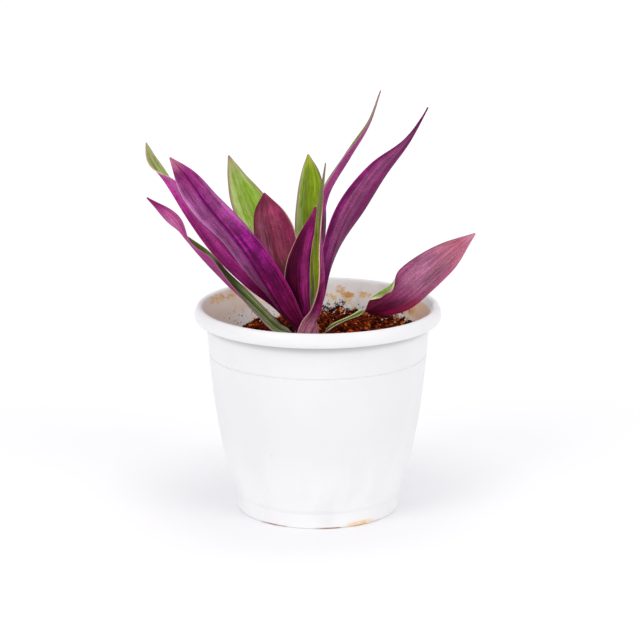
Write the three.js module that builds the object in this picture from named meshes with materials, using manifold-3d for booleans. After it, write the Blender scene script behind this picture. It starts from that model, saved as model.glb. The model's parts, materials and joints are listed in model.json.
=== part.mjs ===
// A boat-lily tradescantia in a white plastic nursery pot.
// Millimetres, +Z up. The origin is the middle of the pot's underside and the front looks along -Y.
import * as THREE from 'three';
import { mergeVertices } from 'three/addons/utils/BufferGeometryUtils.js';
import Module from 'manifold-3d';

const wasm = await Module();
wasm.setup();

// Pot
const POT_SEGMENTS = 48;
const POT_HEIGHT = 127;
const FOOT_RADIUS = 49.6;
const FOOT_HEIGHT = 9.6;
const LIP_RADIUS = 75;
const STEP_HEIGHT = 97.6;
const WALL = 2;
const FLOOR = 4;
const FLOOR_RADIUS = 47.5;
const FOOT_RECESS = 1.6;
const CENTRE_DISC_RADIUS = 16;
const DRAIN_HOLES = 8;
const DRAIN_HOLE_RADIUS = 4.5;
const DRAIN_CIRCLE_RADIUS = 31;

// Fit: the gap between two pieces that touch on the real plant
const GAP = 0.3;

// Soil
const SOIL_LEVEL = 106;
const SOIL_RISE_X = 0.035;
const SOIL_RISE_Y = 0.04;
const SOIL_DIP = 3.8;
const SOIL_DIP_REACH = 22;
const SOIL_RINGS = 9;
const SOIL_SEGMENTS = 40;

// Stem
const STEM_X = -7;
const STEM_Y = -6;
const STEM_RADIUS = 3.5;
const STEM_BOTTOM = 80;
const STEM_TOP = 108;
const STEM_SEGMENTS = 20;

// Leaf bases: sheaths wrapped round the stem in layers, like the skins of a leek
const SHEATH_BOTTOM = 103.5;
const FIRST_LAYER = 4.2;
const LAYER_STEP = 1.05;

// Leaf blades
const BLADE_THICKNESS = 0.7;
const STATIONS_PER_SPAN = 3;
const COLUMNS_PER_HALF = 3;
const TIP_HALF_WIDTH = 0.4;

const WHITE = new THREE.MeshStandardMaterial({ color: 0xf1f1f3, roughness: 0.35, metalness: 0 });
const COIR = new THREE.MeshStandardMaterial({ color: 0x6b3212, roughness: 1, metalness: 0 });
const STALK = new THREE.MeshStandardMaterial({ color: 0x7d5a66, roughness: 0.7, metalness: 0 });

const radians = THREE.MathUtils.degToRad;

function solidOf(geometry) {
  const bare = geometry.clone();
  bare.deleteAttribute('normal');
  bare.deleteAttribute('uv');
  const merged = mergeVertices(bare, 1e-4);
  const mesh = new wasm.Mesh({
    numProp: 3,
    vertProperties: new Float32Array(merged.attributes.position.array),
    triVerts: new Uint32Array(merged.index.array),
  });
  return new wasm.Manifold(mesh);
}

function geometryOf(solid) {
  const mesh = solid.getMesh();
  const geometry = new THREE.BufferGeometry();
  geometry.setAttribute('position', new THREE.BufferAttribute(new Float32Array(mesh.vertProperties), 3));
  geometry.setIndex(new THREE.BufferAttribute(new Uint32Array(mesh.triVerts), 1));
  geometry.computeVertexNormals();
  return geometry;
}

// A lathe turned round Z: points are [radius, height], from the axis underneath to the axis on top
function turned(points, segments) {
  const profile = points.map(([radius, height]) => new THREE.Vector2(radius, height));
  const geometry = new THREE.LatheGeometry(profile, segments);
  geometry.rotateX(Math.PI / 2);
  return geometry;
}

// The convex side of the pot above its foot band: [radius, height]
const SIDE = [
  [FOOT_RADIUS + 0.8, FOOT_HEIGHT + 0.4],
  [55.2, 25],
  [58.7, 40],
  [61.5, 55],
  [63.7, 70],
  [65.3, 85],
  [66.4, STEP_HEIGHT - 0.6],
  [65.9, STEP_HEIGHT],
  [66.4, STEP_HEIGHT + 0.6],
  [68.2, 118.3],
];

// The outside radius of the side at this height
function sideRadius(height) {
  const upper = SIDE.findIndex(([, level]) => level >= height);
  const [lowRadius, lowLevel] = SIDE[upper - 1];
  const [highRadius, highLevel] = SIDE[upper];
  return THREE.MathUtils.mapLinear(height, lowLevel, highLevel, lowRadius, highRadius);
}

function makePot() {
  const underside = [
    [0, 0],
    [CENTRE_DISC_RADIUS, 0],
    [CENTRE_DISC_RADIUS + 1, FOOT_RECESS],
    [FOOT_RADIUS - 5.5, FOOT_RECESS],
    [FOOT_RADIUS - 4.5, 0],
    [FOOT_RADIUS - 0.8, 0],
    [FOOT_RADIUS, 0.8],
    [FOOT_RADIUS + 0.2, FOOT_HEIGHT],
  ];
  // A rolled lip, open underneath
  const lip = [
    [69.1, 119.6],
    [69.8, 122.6],
    [71, 124.4],
    [72.2, 122.8],
    [72.8, 119.1],
    [73.7, 118.5],
    [74.6, 119.8],
    [LIP_RADIUS, 121.8],
    [74.3, 124.6],
    [73.2, 126.5],
    [71.8, POT_HEIGHT],
    [70.3, 126.3],
    [69, 123.6],
    [66.2, 116],
  ];
  const inside = [98, 75, 50, 28, 13].map((height) => [sideRadius(height) - WALL, height]);
  const floor = [
    [FLOOR_RADIUS, FLOOR],
    [0, FLOOR],
  ];
  const shell = solidOf(turned([...underside, ...SIDE, ...lip, ...inside, ...floor], POT_SEGMENTS));
  const drill = new THREE.CylinderGeometry(DRAIN_HOLE_RADIUS, DRAIN_HOLE_RADIUS, 4 * FLOOR, 16);
  drill.rotateX(Math.PI / 2);
  let pierced = shell;
  for (let hole = 0; hole < DRAIN_HOLES; hole += 1) {
    const angle = (2 * Math.PI * hole) / DRAIN_HOLES;
    const cutter = drill.clone();
    cutter.translate(DRAIN_CIRCLE_RADIUS * Math.cos(angle), DRAIN_CIRCLE_RADIUS * Math.sin(angle), 0);
    pierced = pierced.subtract(solidOf(cutter));
  }
  return geometryOf(pierced);
}

// The top of the soil: highest at the back right, dipped round the stem, and lumpy
function soilTop(x, y) {
  const slope = SOIL_RISE_X * x + SOIL_RISE_Y * y;
  const lumps = 0.9 * Math.sin(0.19 * x + 1.3) * Math.cos(0.17 * y - 0.4)
    + 0.6 * Math.sin(0.43 * x - 0.31 * y + 2.1)
    + 0.4 * Math.cos(0.37 * x + 0.52 * y);
  const nearStem = Math.exp(-((Math.hypot(x - STEM_X, y - STEM_Y) / SOIL_DIP_REACH) ** 2));
  return SOIL_LEVEL + slope + lumps * (1 - nearStem) - SOIL_DIP * nearStem;
}

function makeSoil() {
  const floorLevel = FLOOR + GAP;
  const sideLevels = [13, 40, 70, 90];
  const positions = [];
  const triangles = [];
  const addRing = (radius, heightAt) => {
    for (let step = 0; step < SOIL_SEGMENTS; step += 1) {
      const angle = (2 * Math.PI * step) / SOIL_SEGMENTS;
      const [x, y] = [radius * Math.cos(angle), radius * Math.sin(angle)];
      positions.push(x, y, heightAt(x, y));
    }
  };
  // The two outlines have different numbers of corners, so the soil keeps twice the gap
  const inset = WALL + 2 * GAP;
  addRing(FLOOR_RADIUS - 2 * GAP, () => floorLevel);
  sideLevels.forEach((level) => addRing(sideRadius(level) - inset, () => level));
  const topRadius = sideRadius(100) - inset;
  for (let ring = 0; ring < SOIL_RINGS; ring += 1) {
    addRing(topRadius * (1 - ring / SOIL_RINGS), soilTop);
  }
  const rings = 1 + sideLevels.length + SOIL_RINGS;
  for (let ring = 0; ring + 1 < rings; ring += 1) {
    for (let step = 0; step < SOIL_SEGMENTS; step += 1) {
      const next = (step + 1) % SOIL_SEGMENTS;
      const a = ring * SOIL_SEGMENTS + step;
      const b = ring * SOIL_SEGMENTS + next;
      const c = a + SOIL_SEGMENTS;
      const d = b + SOIL_SEGMENTS;
      triangles.push(a, b, d, a, d, c);
    }
  }
  const bottomCentre = positions.length / 3;
  positions.push(0, 0, floorLevel, 0, 0, soilTop(0, 0));
  const topCentre = bottomCentre + 1;
  const lastRing = (rings - 1) * SOIL_SEGMENTS;
  for (let step = 0; step < SOIL_SEGMENTS; step += 1) {
    const next = (step + 1) % SOIL_SEGMENTS;
    triangles.push(bottomCentre, next, step);
    triangles.push(topCentre, lastRing + step, lastRing + next);
  }
  const geometry = new THREE.BufferGeometry();
  geometry.setAttribute('position', new THREE.Float32BufferAttribute(positions, 3));
  geometry.setIndex(triangles);
  const depth = POT_HEIGHT - STEM_BOTTOM;
  const hole = new THREE.CylinderGeometry(STEM_RADIUS + GAP, STEM_RADIUS + GAP, depth, STEM_SEGMENTS);
  hole.rotateX(Math.PI / 2);
  hole.translate(STEM_X, STEM_Y, STEM_BOTTOM - GAP + depth / 2);
  return geometryOf(solidOf(geometry).subtract(solidOf(hole)));
}

function makeStem() {
  const profile = [
    [0, STEM_BOTTOM],
    [STEM_RADIUS - 1.2, STEM_BOTTOM],
    [STEM_RADIUS, STEM_BOTTOM + 2],
    [STEM_RADIUS, STEM_TOP - 2.5],
    [STEM_RADIUS - 1.5, STEM_TOP - 0.6],
    [0, STEM_TOP],
  ];
  return turned(profile, STEM_SEGMENTS).translate(STEM_X, STEM_Y, 0);
}

// Leaves
//
// azimuth and layer place the sheath on the stem; wrap is how far it reaches round the stem on each
// side. The columns after that follow the blade from above the sheath to the tip: the midrib's
// points, the way that the upper side looks there, the width of the left and the right half (with
// the tip up and the upper side in view), the degrees by which each half is folded up at the midrib,
// and the degrees by which it curls on towards its margin.
const LEAVES = [
  {
    name: 'leaf_far_left',
    azimuth: 165,
    layer: 2,
    wrap: 36,
    collar: 109,
    midrib: [
      [-24, -6, 123.6], [-42.4, -8, 139], [-61, -7, 157.2], [-78, -4, 180.2],
      [-91, 0, 201], [-101, 2, 216], [-103, 3, 226],
    ],
    upperSide: [[6, 3, 6], [6, 5, 5], [6, 6, 5], [6, 5, 5], [7, 1, 4], [6, -4, 4], [6, -7, 3]],
    left: [8, 12, 12, 12, 12, 4.6, 0.4],
    right: [10, 14, 15, 13, 9, 5, 0.4],
    fold: [35, 32, 30, 30, 28, 20, 20],
    curl: [10, 5, 0, 0, 0, 0, 0],
  },
  {
    name: 'leaf_front_left',
    azimuth: 240,
    layer: 2,
    wrap: 32,
    collar: 110,
    midrib: [
      [-21, -19, 127], [-34, -29, 151], [-48, -38, 175],
      [-64, -47, 197], [-75, -54, 215], [-85, -58, 228],
    ],
    upperSide: [[2, 9, 4], [1, 9, 4], [1, 9, 4], [-1, 9, 2], [-3, 9, 1], [-3, 9, 1]],
    left: [11, 12, 10.5, 8.8, 6.2, 0.4],
    right: [8, 12, 12.5, 11.5, 8, 0.4],
    fold: [38, 30, 24, 22, 22, 25],
    curl: [15, 12, 10, 10, 10, 10],
  },
  {
    name: 'leaf_low_left',
    azimuth: 200,
    layer: 3,
    wrap: 27,
    collar: 106,
    midrib: [
      [-26, -14, 114], [-39, -20, 129], [-56, -25, 147], [-69, -28, 162],
      [-78, -31, 174], [-86, -35, 186], [-100, -40, 201],
    ],
    upperSide: [[7, -4, 5], [7, -5.6, 5], [7, -1.6, 6], [7, 0, 6], [6, 1, 6], [3, 8, 5], [3, 8, 5]],
    left: [6, 8, 9, 9, 6, 6, 0.4],
    right: [6, 5.8, 7.4, 8, 5.5, 4.6, 0.4],
    fold: [30, 38, 34, 38, 14, 15, 20],
    curl: [0, 0, 0, 0, 0, 0, 0],
  },
  {
    name: 'leaf_back_left',
    azimuth: 116,
    layer: 1,
    wrap: 32,
    collar: 111,
    midrib: [
      [-15, 6, 127], [-26, 14, 151], [-37, 20, 171],
      [-44, 26, 186], [-50, 32, 200], [-55, 38, 212],
    ],
    upperSide: [[4, -5, 4], [4, -6, 4], [3, -7, 4], [3, -7, 4], [3, -7, 4], [3, -7, 4]],
    left: [6, 10, 13, 12, 7, 0.4],
    right: [6, 10, 13.5, 12, 5.4, 0.4],
    fold: [35, 25, 18, 15, 15, 15],
    curl: [10, 5, 0, 0, 0, 0],
  },
  {
    name: 'leaf_broad',
    azimuth: 204,
    layer: 0,
    wrap: 45,
    collar: 113,
    midrib: [
      [-14, -5, 126], [-19, -5, 143], [-24, -5, 158],
      [-27, -6, 173], [-30, -8, 186], [-32, -10, 198],
    ],
    upperSide: [[1, 9, 2], [1, 9, 2], [1, 9, 2], [1, 9, 2], [1, 9, 2], [1, 9, 2]],
    left: [7, 12, 13.6, 13, 9, 0.4],
    right: [7, 11, 13, 13, 9, 0.4],
    fold: [30, 20, 15, 15, 15, 15],
    curl: [20, 10, 5, 5, 5, 5],
  },
  {
    name: 'leaf_back_right',
    azimuth: 52,
    layer: 1,
    wrap: 28,
    collar: 112,
    midrib: [
      [-4, 6, 130], [-6, 12, 150], [-6, 18, 171],
      [-6, 23, 189], [-5.6, 27, 203], [-6, 31, 214],
    ],
    upperSide: [[1, -9, 2], [3, -8, 2], [3, -8, 2], [3, -8, 2], [3, -8, 2], [3, -8, 2]],
    left: [4, 9, 11, 9, 6, 0.4],
    right: [5, 9, 11, 10.5, 6.8, 0.4],
    fold: [30, 25, 20, 20, 20, 20],
    curl: [20, 10, 5, 5, 5, 5],
  },
  {
    name: 'leaf_heart',
    azimuth: 270,
    layer: 1,
    wrap: 50,
    collar: 112,
    midrib: [
      [-8, -12, 124], [-11, -14, 140], [-11, -16, 157],
      [-9, -17, 170], [-5, -18, 182], [-1.3, -19, 191.5],
    ],
    upperSide: [[1, 9, 1], [-1, 9, 1], [-1, 9, 1], [0, 9, 1], [1, 9, 1], [2, 9, 1]],
    left: [5, 8, 8, 7, 5, 0.4],
    right: [6, 9.5, 7.8, 4.4, 1.8, 0.4],
    fold: [36, 26, 24, 24, 24, 24],
    curl: [20, 10, 5, 5, 5, 5],
  },
  {
    name: 'leaf_upright',
    azimuth: 280,
    layer: 5,
    wrap: 50,
    collar: 108,
    midrib: [
      [2, -18, 128], [4, -22, 146], [3, -23, 163],
      [2, -25, 182], [2.8, -28, 202], [4.6, -31, 220],
    ],
    upperSide: [[-9, 1, 1], [-9, -2, 1], [-9, -3, 1], [-9, -6, 1], [-9, -8, 1], [-9, -8, 1]],
    left: [6, 8, 7, 4, 1.8, 0.4],
    right: [7.5, 7, 6.5, 6, 4, 0.4],
    fold: [40, 38, 36, 34, 30, 30],
    curl: [30, 10, 5, 5, 5, 5],
  },
  {
    name: 'leaf_tall_narrow',
    azimuth: 40,
    layer: 0,
    wrap: 70,
    collar: 112,
    midrib: [
      [2, 0, 138], [3, 4, 165], [6.4, 8, 192],
      [19.6, 13, 215], [31, 17, 234], [38, 20, 255],
    ],
    upperSide: [[-9, -1, 3], [-9, 0, 3], [-8, 0, 4], [-8, 0, 4], [-8, -1, 4], [-9, -1, 3]],
    left: [7, 8, 8.8, 7.8, 3.6, 0.4],
    right: [7, 9, 10.8, 10, 5.4, 0.4],
    fold: [40, 35, 30, 25, 25, 25],
    curl: [10, 5, 0, 0, 0, 0],
  },
  {
    name: 'leaf_tall_right',
    azimuth: 352,
    layer: 1,
    wrap: 30,
    collar: 112,
    midrib: [
      [4, -7, 134], [9, -7, 160], [20, -8, 187], [35, -9, 210],
      [53, -12, 231], [60, -13, 241], [65, -14, 250],
    ],
    upperSide: [[-7, 6, 3], [-4, 8, 2], [-1, 9, 1], [-1, 9, 1], [-1, 9, 1], [-1, 9, 1], [-1, 9, 1]],
    left: [7, 9, 13, 11, 4.4, 1.4, 0.4],
    right: [4, 7, 10, 7, 1.2, 0.6, 0.4],
    fold: [40, 35, 35, 35, 35, 30, 30],
    curl: [10, 15, 15, 15, 10, 10, 10],
  },
  {
    name: 'leaf_low_right',
    azimuth: 345,
    layer: 6,
    wrap: 20,
    collar: 107,
    midrib: [
      [25, -14, 124], [34, -12, 127.5], [48, -9, 134],
      [62, -6, 145], [78, -3, 158], [95, 0, 171],
    ],
    upperSide: [[-4, -2, 6], [-3, 7, 4], [-1, 9, 1], [-1, 9, 1], [-1, 9, 1], [-1, 9, 1]],
    left: [3.6, 9.6, 12.6, 12.8, 10.4, 0.4],
    right: [2.5, 9.5, 11.3, 12.2, 8.6, 0.4],
    fold: [12, 15, 12, 10, 10, 10],
    curl: [0, 0, 5, 5, 5, 5],
  },
];

// How fast the numbers in a row change, over the distance between the midrib's points
function slopeAt(rows, i) {
  const step = (from, to) => {
    const distance = Math.hypot(to[0] - from[0], to[1] - from[1], to[2] - from[2]);
    return [distance, to.map((value, k) => (value - from[k]) / distance)];
  };
  const [before, rising] = step(rows[Math.max(i - 1, 0)], rows[Math.max(i, 1)]);
  const [after, leaving] = step(rows[Math.min(i, rows.length - 2)], rows[Math.min(i + 1, rows.length - 1)]);
  return rising.map((value, k) => (value * after + leaving[k] * before) / (before + after));
}

// A smooth run through rows of numbers: a cubic between each two rows, at this place counted in rows
function along(rows, place) {
  const span = Math.min(Math.floor(place), rows.length - 2);
  const share = place - span;
  const [from, to] = [rows[span], rows[span + 1]];
  const length = Math.hypot(to[0] - from[0], to[1] - from[1], to[2] - from[2]);
  const [leaving, arriving] = [slopeAt(rows, span), slopeAt(rows, span + 1)];
  return from.map((value, k) => {
    const rise = to[k] - value;
    const leave = leaving[k] * length;
    const arrive = arriving[k] * length;
    return value + share * (leave + share * (3 * rise - 2 * leave - arrive
      + share * (leave + arrive - 2 * rise)));
  });
}

function leafRows(leaf) {
  const radius = FIRST_LAYER + leaf.layer * LAYER_STEP;
  const turn = radians(leaf.azimuth);
  const [out, side] = [Math.cos(turn), Math.sin(turn)];
  const sheathWidth = radius * radians(leaf.wrap);
  const sheathRow = (height) => [
    STEM_X + radius * out, STEM_Y + radius * side, height,
    -out, -side, 0,
    sheathWidth, sheathWidth, 0, leaf.wrap,
  ];
  const blade = leaf.midrib.map((point, i) => {
    const looks = new THREE.Vector3(...leaf.upperSide[i]).normalize().toArray();
    return [...point, ...looks, leaf.left[i], leaf.right[i], leaf.fold[i], leaf.curl[i]];
  });
  return [sheathRow(SHEATH_BOTTOM), sheathRow(leaf.collar), ...blade];
}

// Where a half blade of this width has got to, across and up, at this share of the way to its margin
function foldedOut(width, fold, curl, share) {
  const start = radians(fold);
  const end = start + radians(curl) * share;
  const turn = end - start;
  const reach = width * share;
  if (Math.abs(turn) < 1e-4) {
    return [reach * Math.cos(start), reach * Math.sin(start), end];
  }
  const across = (reach * (Math.sin(end) - Math.sin(start))) / turn;
  const up = (reach * (Math.cos(start) - Math.cos(end))) / turn;
  return [across, up, end];
}

function makeLeaf(leaf) {
  const rows = leafRows(leaf);
  const stations = (rows.length - 1) * STATIONS_PER_SPAN;
  const columns = 2 * COLUMNS_PER_HALF;
  const upper = [];
  const lower = [];
  for (let station = 0; station <= stations; station += 1) {
    const place = station / STATIONS_PER_SPAN;
    const [x, y, z, nx, ny, nz, left, right, fold, curl] = along(rows, place);
    const before = along(rows, Math.max(place - 0.02, 0));
    const after = along(rows, Math.min(place + 0.02, rows.length - 1));
    const tangent = new THREE.Vector3(after[0] - before[0], after[1] - before[1], after[2] - before[2]);
    tangent.normalize();
    const face = new THREE.Vector3(nx, ny, nz);
    face.addScaledVector(tangent, -face.dot(tangent)).normalize();
    const toRight = new THREE.Vector3().crossVectors(tangent, face);
    for (let column = -COLUMNS_PER_HALF; column <= COLUMNS_PER_HALF; column += 1) {
      const sign = Math.sign(column);
      const width = Math.max(sign < 0 ? left : right, TIP_HALF_WIDTH);
      const share = Math.abs(column) / COLUMNS_PER_HALF;
      const [across, up, lean] = foldedOut(width, fold, curl, share);
      const middle = new THREE.Vector3(x, y, z)
        .addScaledVector(toRight, sign * across)
        .addScaledVector(face, up);
      const mitre = sign === 0 ? 1 / Math.max(Math.cos(radians(fold)), 0.6) : 1;
      const half = (BLADE_THICKNESS / 2) * mitre;
      const normal = face.clone().multiplyScalar(sign === 0 ? 1 : Math.cos(lean))
        .addScaledVector(toRight, -sign * Math.sin(lean));
      upper.push(middle.clone().addScaledVector(normal, half));
      lower.push(middle.clone().addScaledVector(normal, -half));
    }
  }
  const points = [...upper, ...lower];
  const wide = columns + 1;
  const under = upper.length;
  const triangles = [];
  const quad = (a, b, c, d) => triangles.push(a, b, c, a, c, d);
  for (let station = 0; station < stations; station += 1) {
    for (let column = 0; column < columns; column += 1) {
      const a = station * wide + column;
      quad(a, a + 1, a + 1 + wide, a + wide);
    }
  }
  for (let station = 0; station < stations; station += 1) {
    for (let column = 0; column < columns; column += 1) {
      const a = under + station * wide + column;
      triangles.push(a, a + 1 + wide, a + 1, a, a + wide, a + 1 + wide);
    }
  }
  for (let station = 0; station < stations; station += 1) {
    const start = station * wide;
    const end = start + columns;
    quad(start, start + wide, under + start + wide, under + start);
    quad(end + wide, end, under + end, under + end + wide);
  }
  const tip = stations * wide;
  for (let column = 0; column < columns; column += 1) {
    quad(column + 1, column, under + column, under + column + 1);
    const a = tip + column;
    quad(a, a + 1, under + a + 1, under + a);
  }
  const geometry = new THREE.BufferGeometry().setFromPoints(points);
  geometry.setIndex(triangles);
  geometry.computeVertexNormals();
  return geometry;
}

const plant = new THREE.Group();

function add(name, geometry, material) {
  const mesh = new THREE.Mesh(geometry, material);
  mesh.name = name;
  plant.add(mesh);
}

add('pot', makePot(), WHITE);
add('soil', makeSoil(), COIR);
add('stem', makeStem(), STALK);
LEAVES.forEach((leaf) => {
  add(leaf.name, makeLeaf(leaf), new THREE.MeshStandardMaterial({ color: 0x78237a, roughness: 0.45 }));
});

export default plant;
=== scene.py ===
# A boat-lily tradescantia in its nursery pot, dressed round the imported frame.
# Metres, +Z up. The origin is the middle of the pot's underside and the front looks along -Y.
# Outlines and the leaves' rows are written in millimetres and turned into metres by MM.
import json
import math
import random

import bpy
import numpy as np
from bpy.props import FloatProperty, FloatVectorProperty, IntProperty, PointerProperty
from mathutils import Euler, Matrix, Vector, noise
from mathutils.bvhtree import BVHTree

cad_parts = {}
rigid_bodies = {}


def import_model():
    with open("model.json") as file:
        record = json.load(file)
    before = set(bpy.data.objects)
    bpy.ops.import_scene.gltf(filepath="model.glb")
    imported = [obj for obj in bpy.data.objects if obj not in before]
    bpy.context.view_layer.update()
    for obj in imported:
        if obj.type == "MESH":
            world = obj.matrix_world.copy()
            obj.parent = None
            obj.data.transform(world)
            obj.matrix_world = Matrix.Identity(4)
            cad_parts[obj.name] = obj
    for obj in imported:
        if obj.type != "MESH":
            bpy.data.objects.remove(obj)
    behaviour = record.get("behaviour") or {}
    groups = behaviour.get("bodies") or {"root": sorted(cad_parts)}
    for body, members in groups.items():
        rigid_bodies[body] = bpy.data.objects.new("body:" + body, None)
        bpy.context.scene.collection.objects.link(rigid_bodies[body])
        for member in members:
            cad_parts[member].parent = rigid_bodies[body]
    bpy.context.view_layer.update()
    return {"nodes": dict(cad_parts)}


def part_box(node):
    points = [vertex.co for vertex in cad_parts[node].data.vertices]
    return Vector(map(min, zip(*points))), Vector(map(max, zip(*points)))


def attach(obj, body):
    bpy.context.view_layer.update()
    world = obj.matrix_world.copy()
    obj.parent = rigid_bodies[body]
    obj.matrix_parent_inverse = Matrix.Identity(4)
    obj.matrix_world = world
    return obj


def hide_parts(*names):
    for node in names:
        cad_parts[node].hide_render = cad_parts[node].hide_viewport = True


bl_info = {
    "name": "Potted tradescantia",
    "version": (1, 0, 0),
    "blender": (4, 5, 0),
    "location": "3D View > Sidebar > Plant",
    "description": "Models a boat-lily tradescantia in a white nursery pot on its packed frame",
    "category": "Add Mesh",
}

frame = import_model()

MM = 0.001
BODY = "root"
POT_LOW, POT_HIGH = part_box("pot")
POT_HEIGHT = POT_HIGH.z / MM
LIP_RADIUS = POT_HIGH.x / MM
STEM_LOW, STEM_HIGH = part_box("stem")
STEM_X = (STEM_LOW.x + STEM_HIGH.x) / 2 / MM
STEM_Y = (STEM_LOW.y + STEM_HIGH.y) / 2 / MM
STEM_RADIUS = (STEM_HIGH.x - STEM_LOW.x) / 2 / MM
STEM_BOTTOM = STEM_LOW.z / MM

# Pot outline
FOOT_RADIUS = 49.6
FOOT_HEIGHT = 9.6
STEP_HEIGHT = 97.6
STEP_RADIUS = 66.4
FLOOR = 4
FLOOR_RADIUS = 47.5
FOOT_RECESS = 1.6
CENTRE_DISC_RADIUS = 16
DRAIN_HOLES = 8
DRAIN_HOLE_RADIUS = 4.5
DRAIN_CIRCLE_RADIUS = 31
SIDE = [
    (FOOT_RADIUS + 0.8, FOOT_HEIGHT + 0.4),
    (55.2, 25),
    (58.7, 40),
    (61.5, 55),
    (63.7, 70),
    (65.3, 85),
    (STEP_RADIUS, STEP_HEIGHT - 0.6),
]

# The top of the inner wall, as (radius, height)
INNER_RIM = [(64.4, 98), (66.2, 115), (67.6, 120), (69, 123.6)]
# Faces that look at the axis from inside this radius are the inner wall
INSIDE_RADIUS = LIP_RADIUS - 3.6

# Rusty stains on the inner wall, each as (place, reach, strength). They are lower than they are wide.
RUST_SPOTS = (
    ((-63.5, 25, 124), 8, 0.8),
    ((-60, 33, 123.2), 9, 0.85),
    ((-55, 41, 123), 8, 0.7),
    ((-44.5, 53, 125), 6, 0.6),
    ((28, 59, 119), 6, 1.0),
    ((19, 64, 117.5), 5, 0.9),
    ((13, 64, 120.5), 6, 0.6),
)
RUST_FLATTENING = 2.4

# The stain that a wet saucer left on the foot, also lower than it is wide
SAUCER_STAIN = (26, -42.7, 1.2)
SAUCER_FLATTENING = 4.5

# Soil
GAP = 0.3
SOIL_LEVEL = 106
SOIL_RISE_X = 0.035
SOIL_RISE_Y = 0.01
SOIL_SINK = 5.2
SOIL_SINK_START = 15
SOIL_SINK_REACH = 45
SOIL_DIP = 3.8
SOIL_DIP_REACH = 22
SOIL_RADIUS = 64.4
SOIL_SIDES = [(49.1, 13), (56.4, 40), (61.4, 70), (63.6, 90)]

# The compost clings to the wall up to about this height, from this share of the soil's radius out
CLING = 3.5
CLING_START = 0.93

# Loose crumbs: about the radius of the smallest, how far the others spread above it, and the largest
CRUMB_SIZE = 0.44
CRUMB_SPREAD = 0.55
CRUMB_LARGEST = 1.9

# Leaf bases and blades
SHEATH_BOTTOM = 103.5
FIRST_LAYER = 4.2
LAYER_STEP = 1.05
BLADE_THICKNESS = 0.7
TIP_HALF_WIDTH = 0.4

# A blade's ripple, in shares of its length: where it sets in, how soon it is full, and how far before
# the tip it dies down. The last is how many waves the blade has room for.
RIPPLE_START = 0.3
RIPPLE_SWELL = 0.3
RIPPLE_END = 0.1
RIPPLE_WAVES = 9

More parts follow.
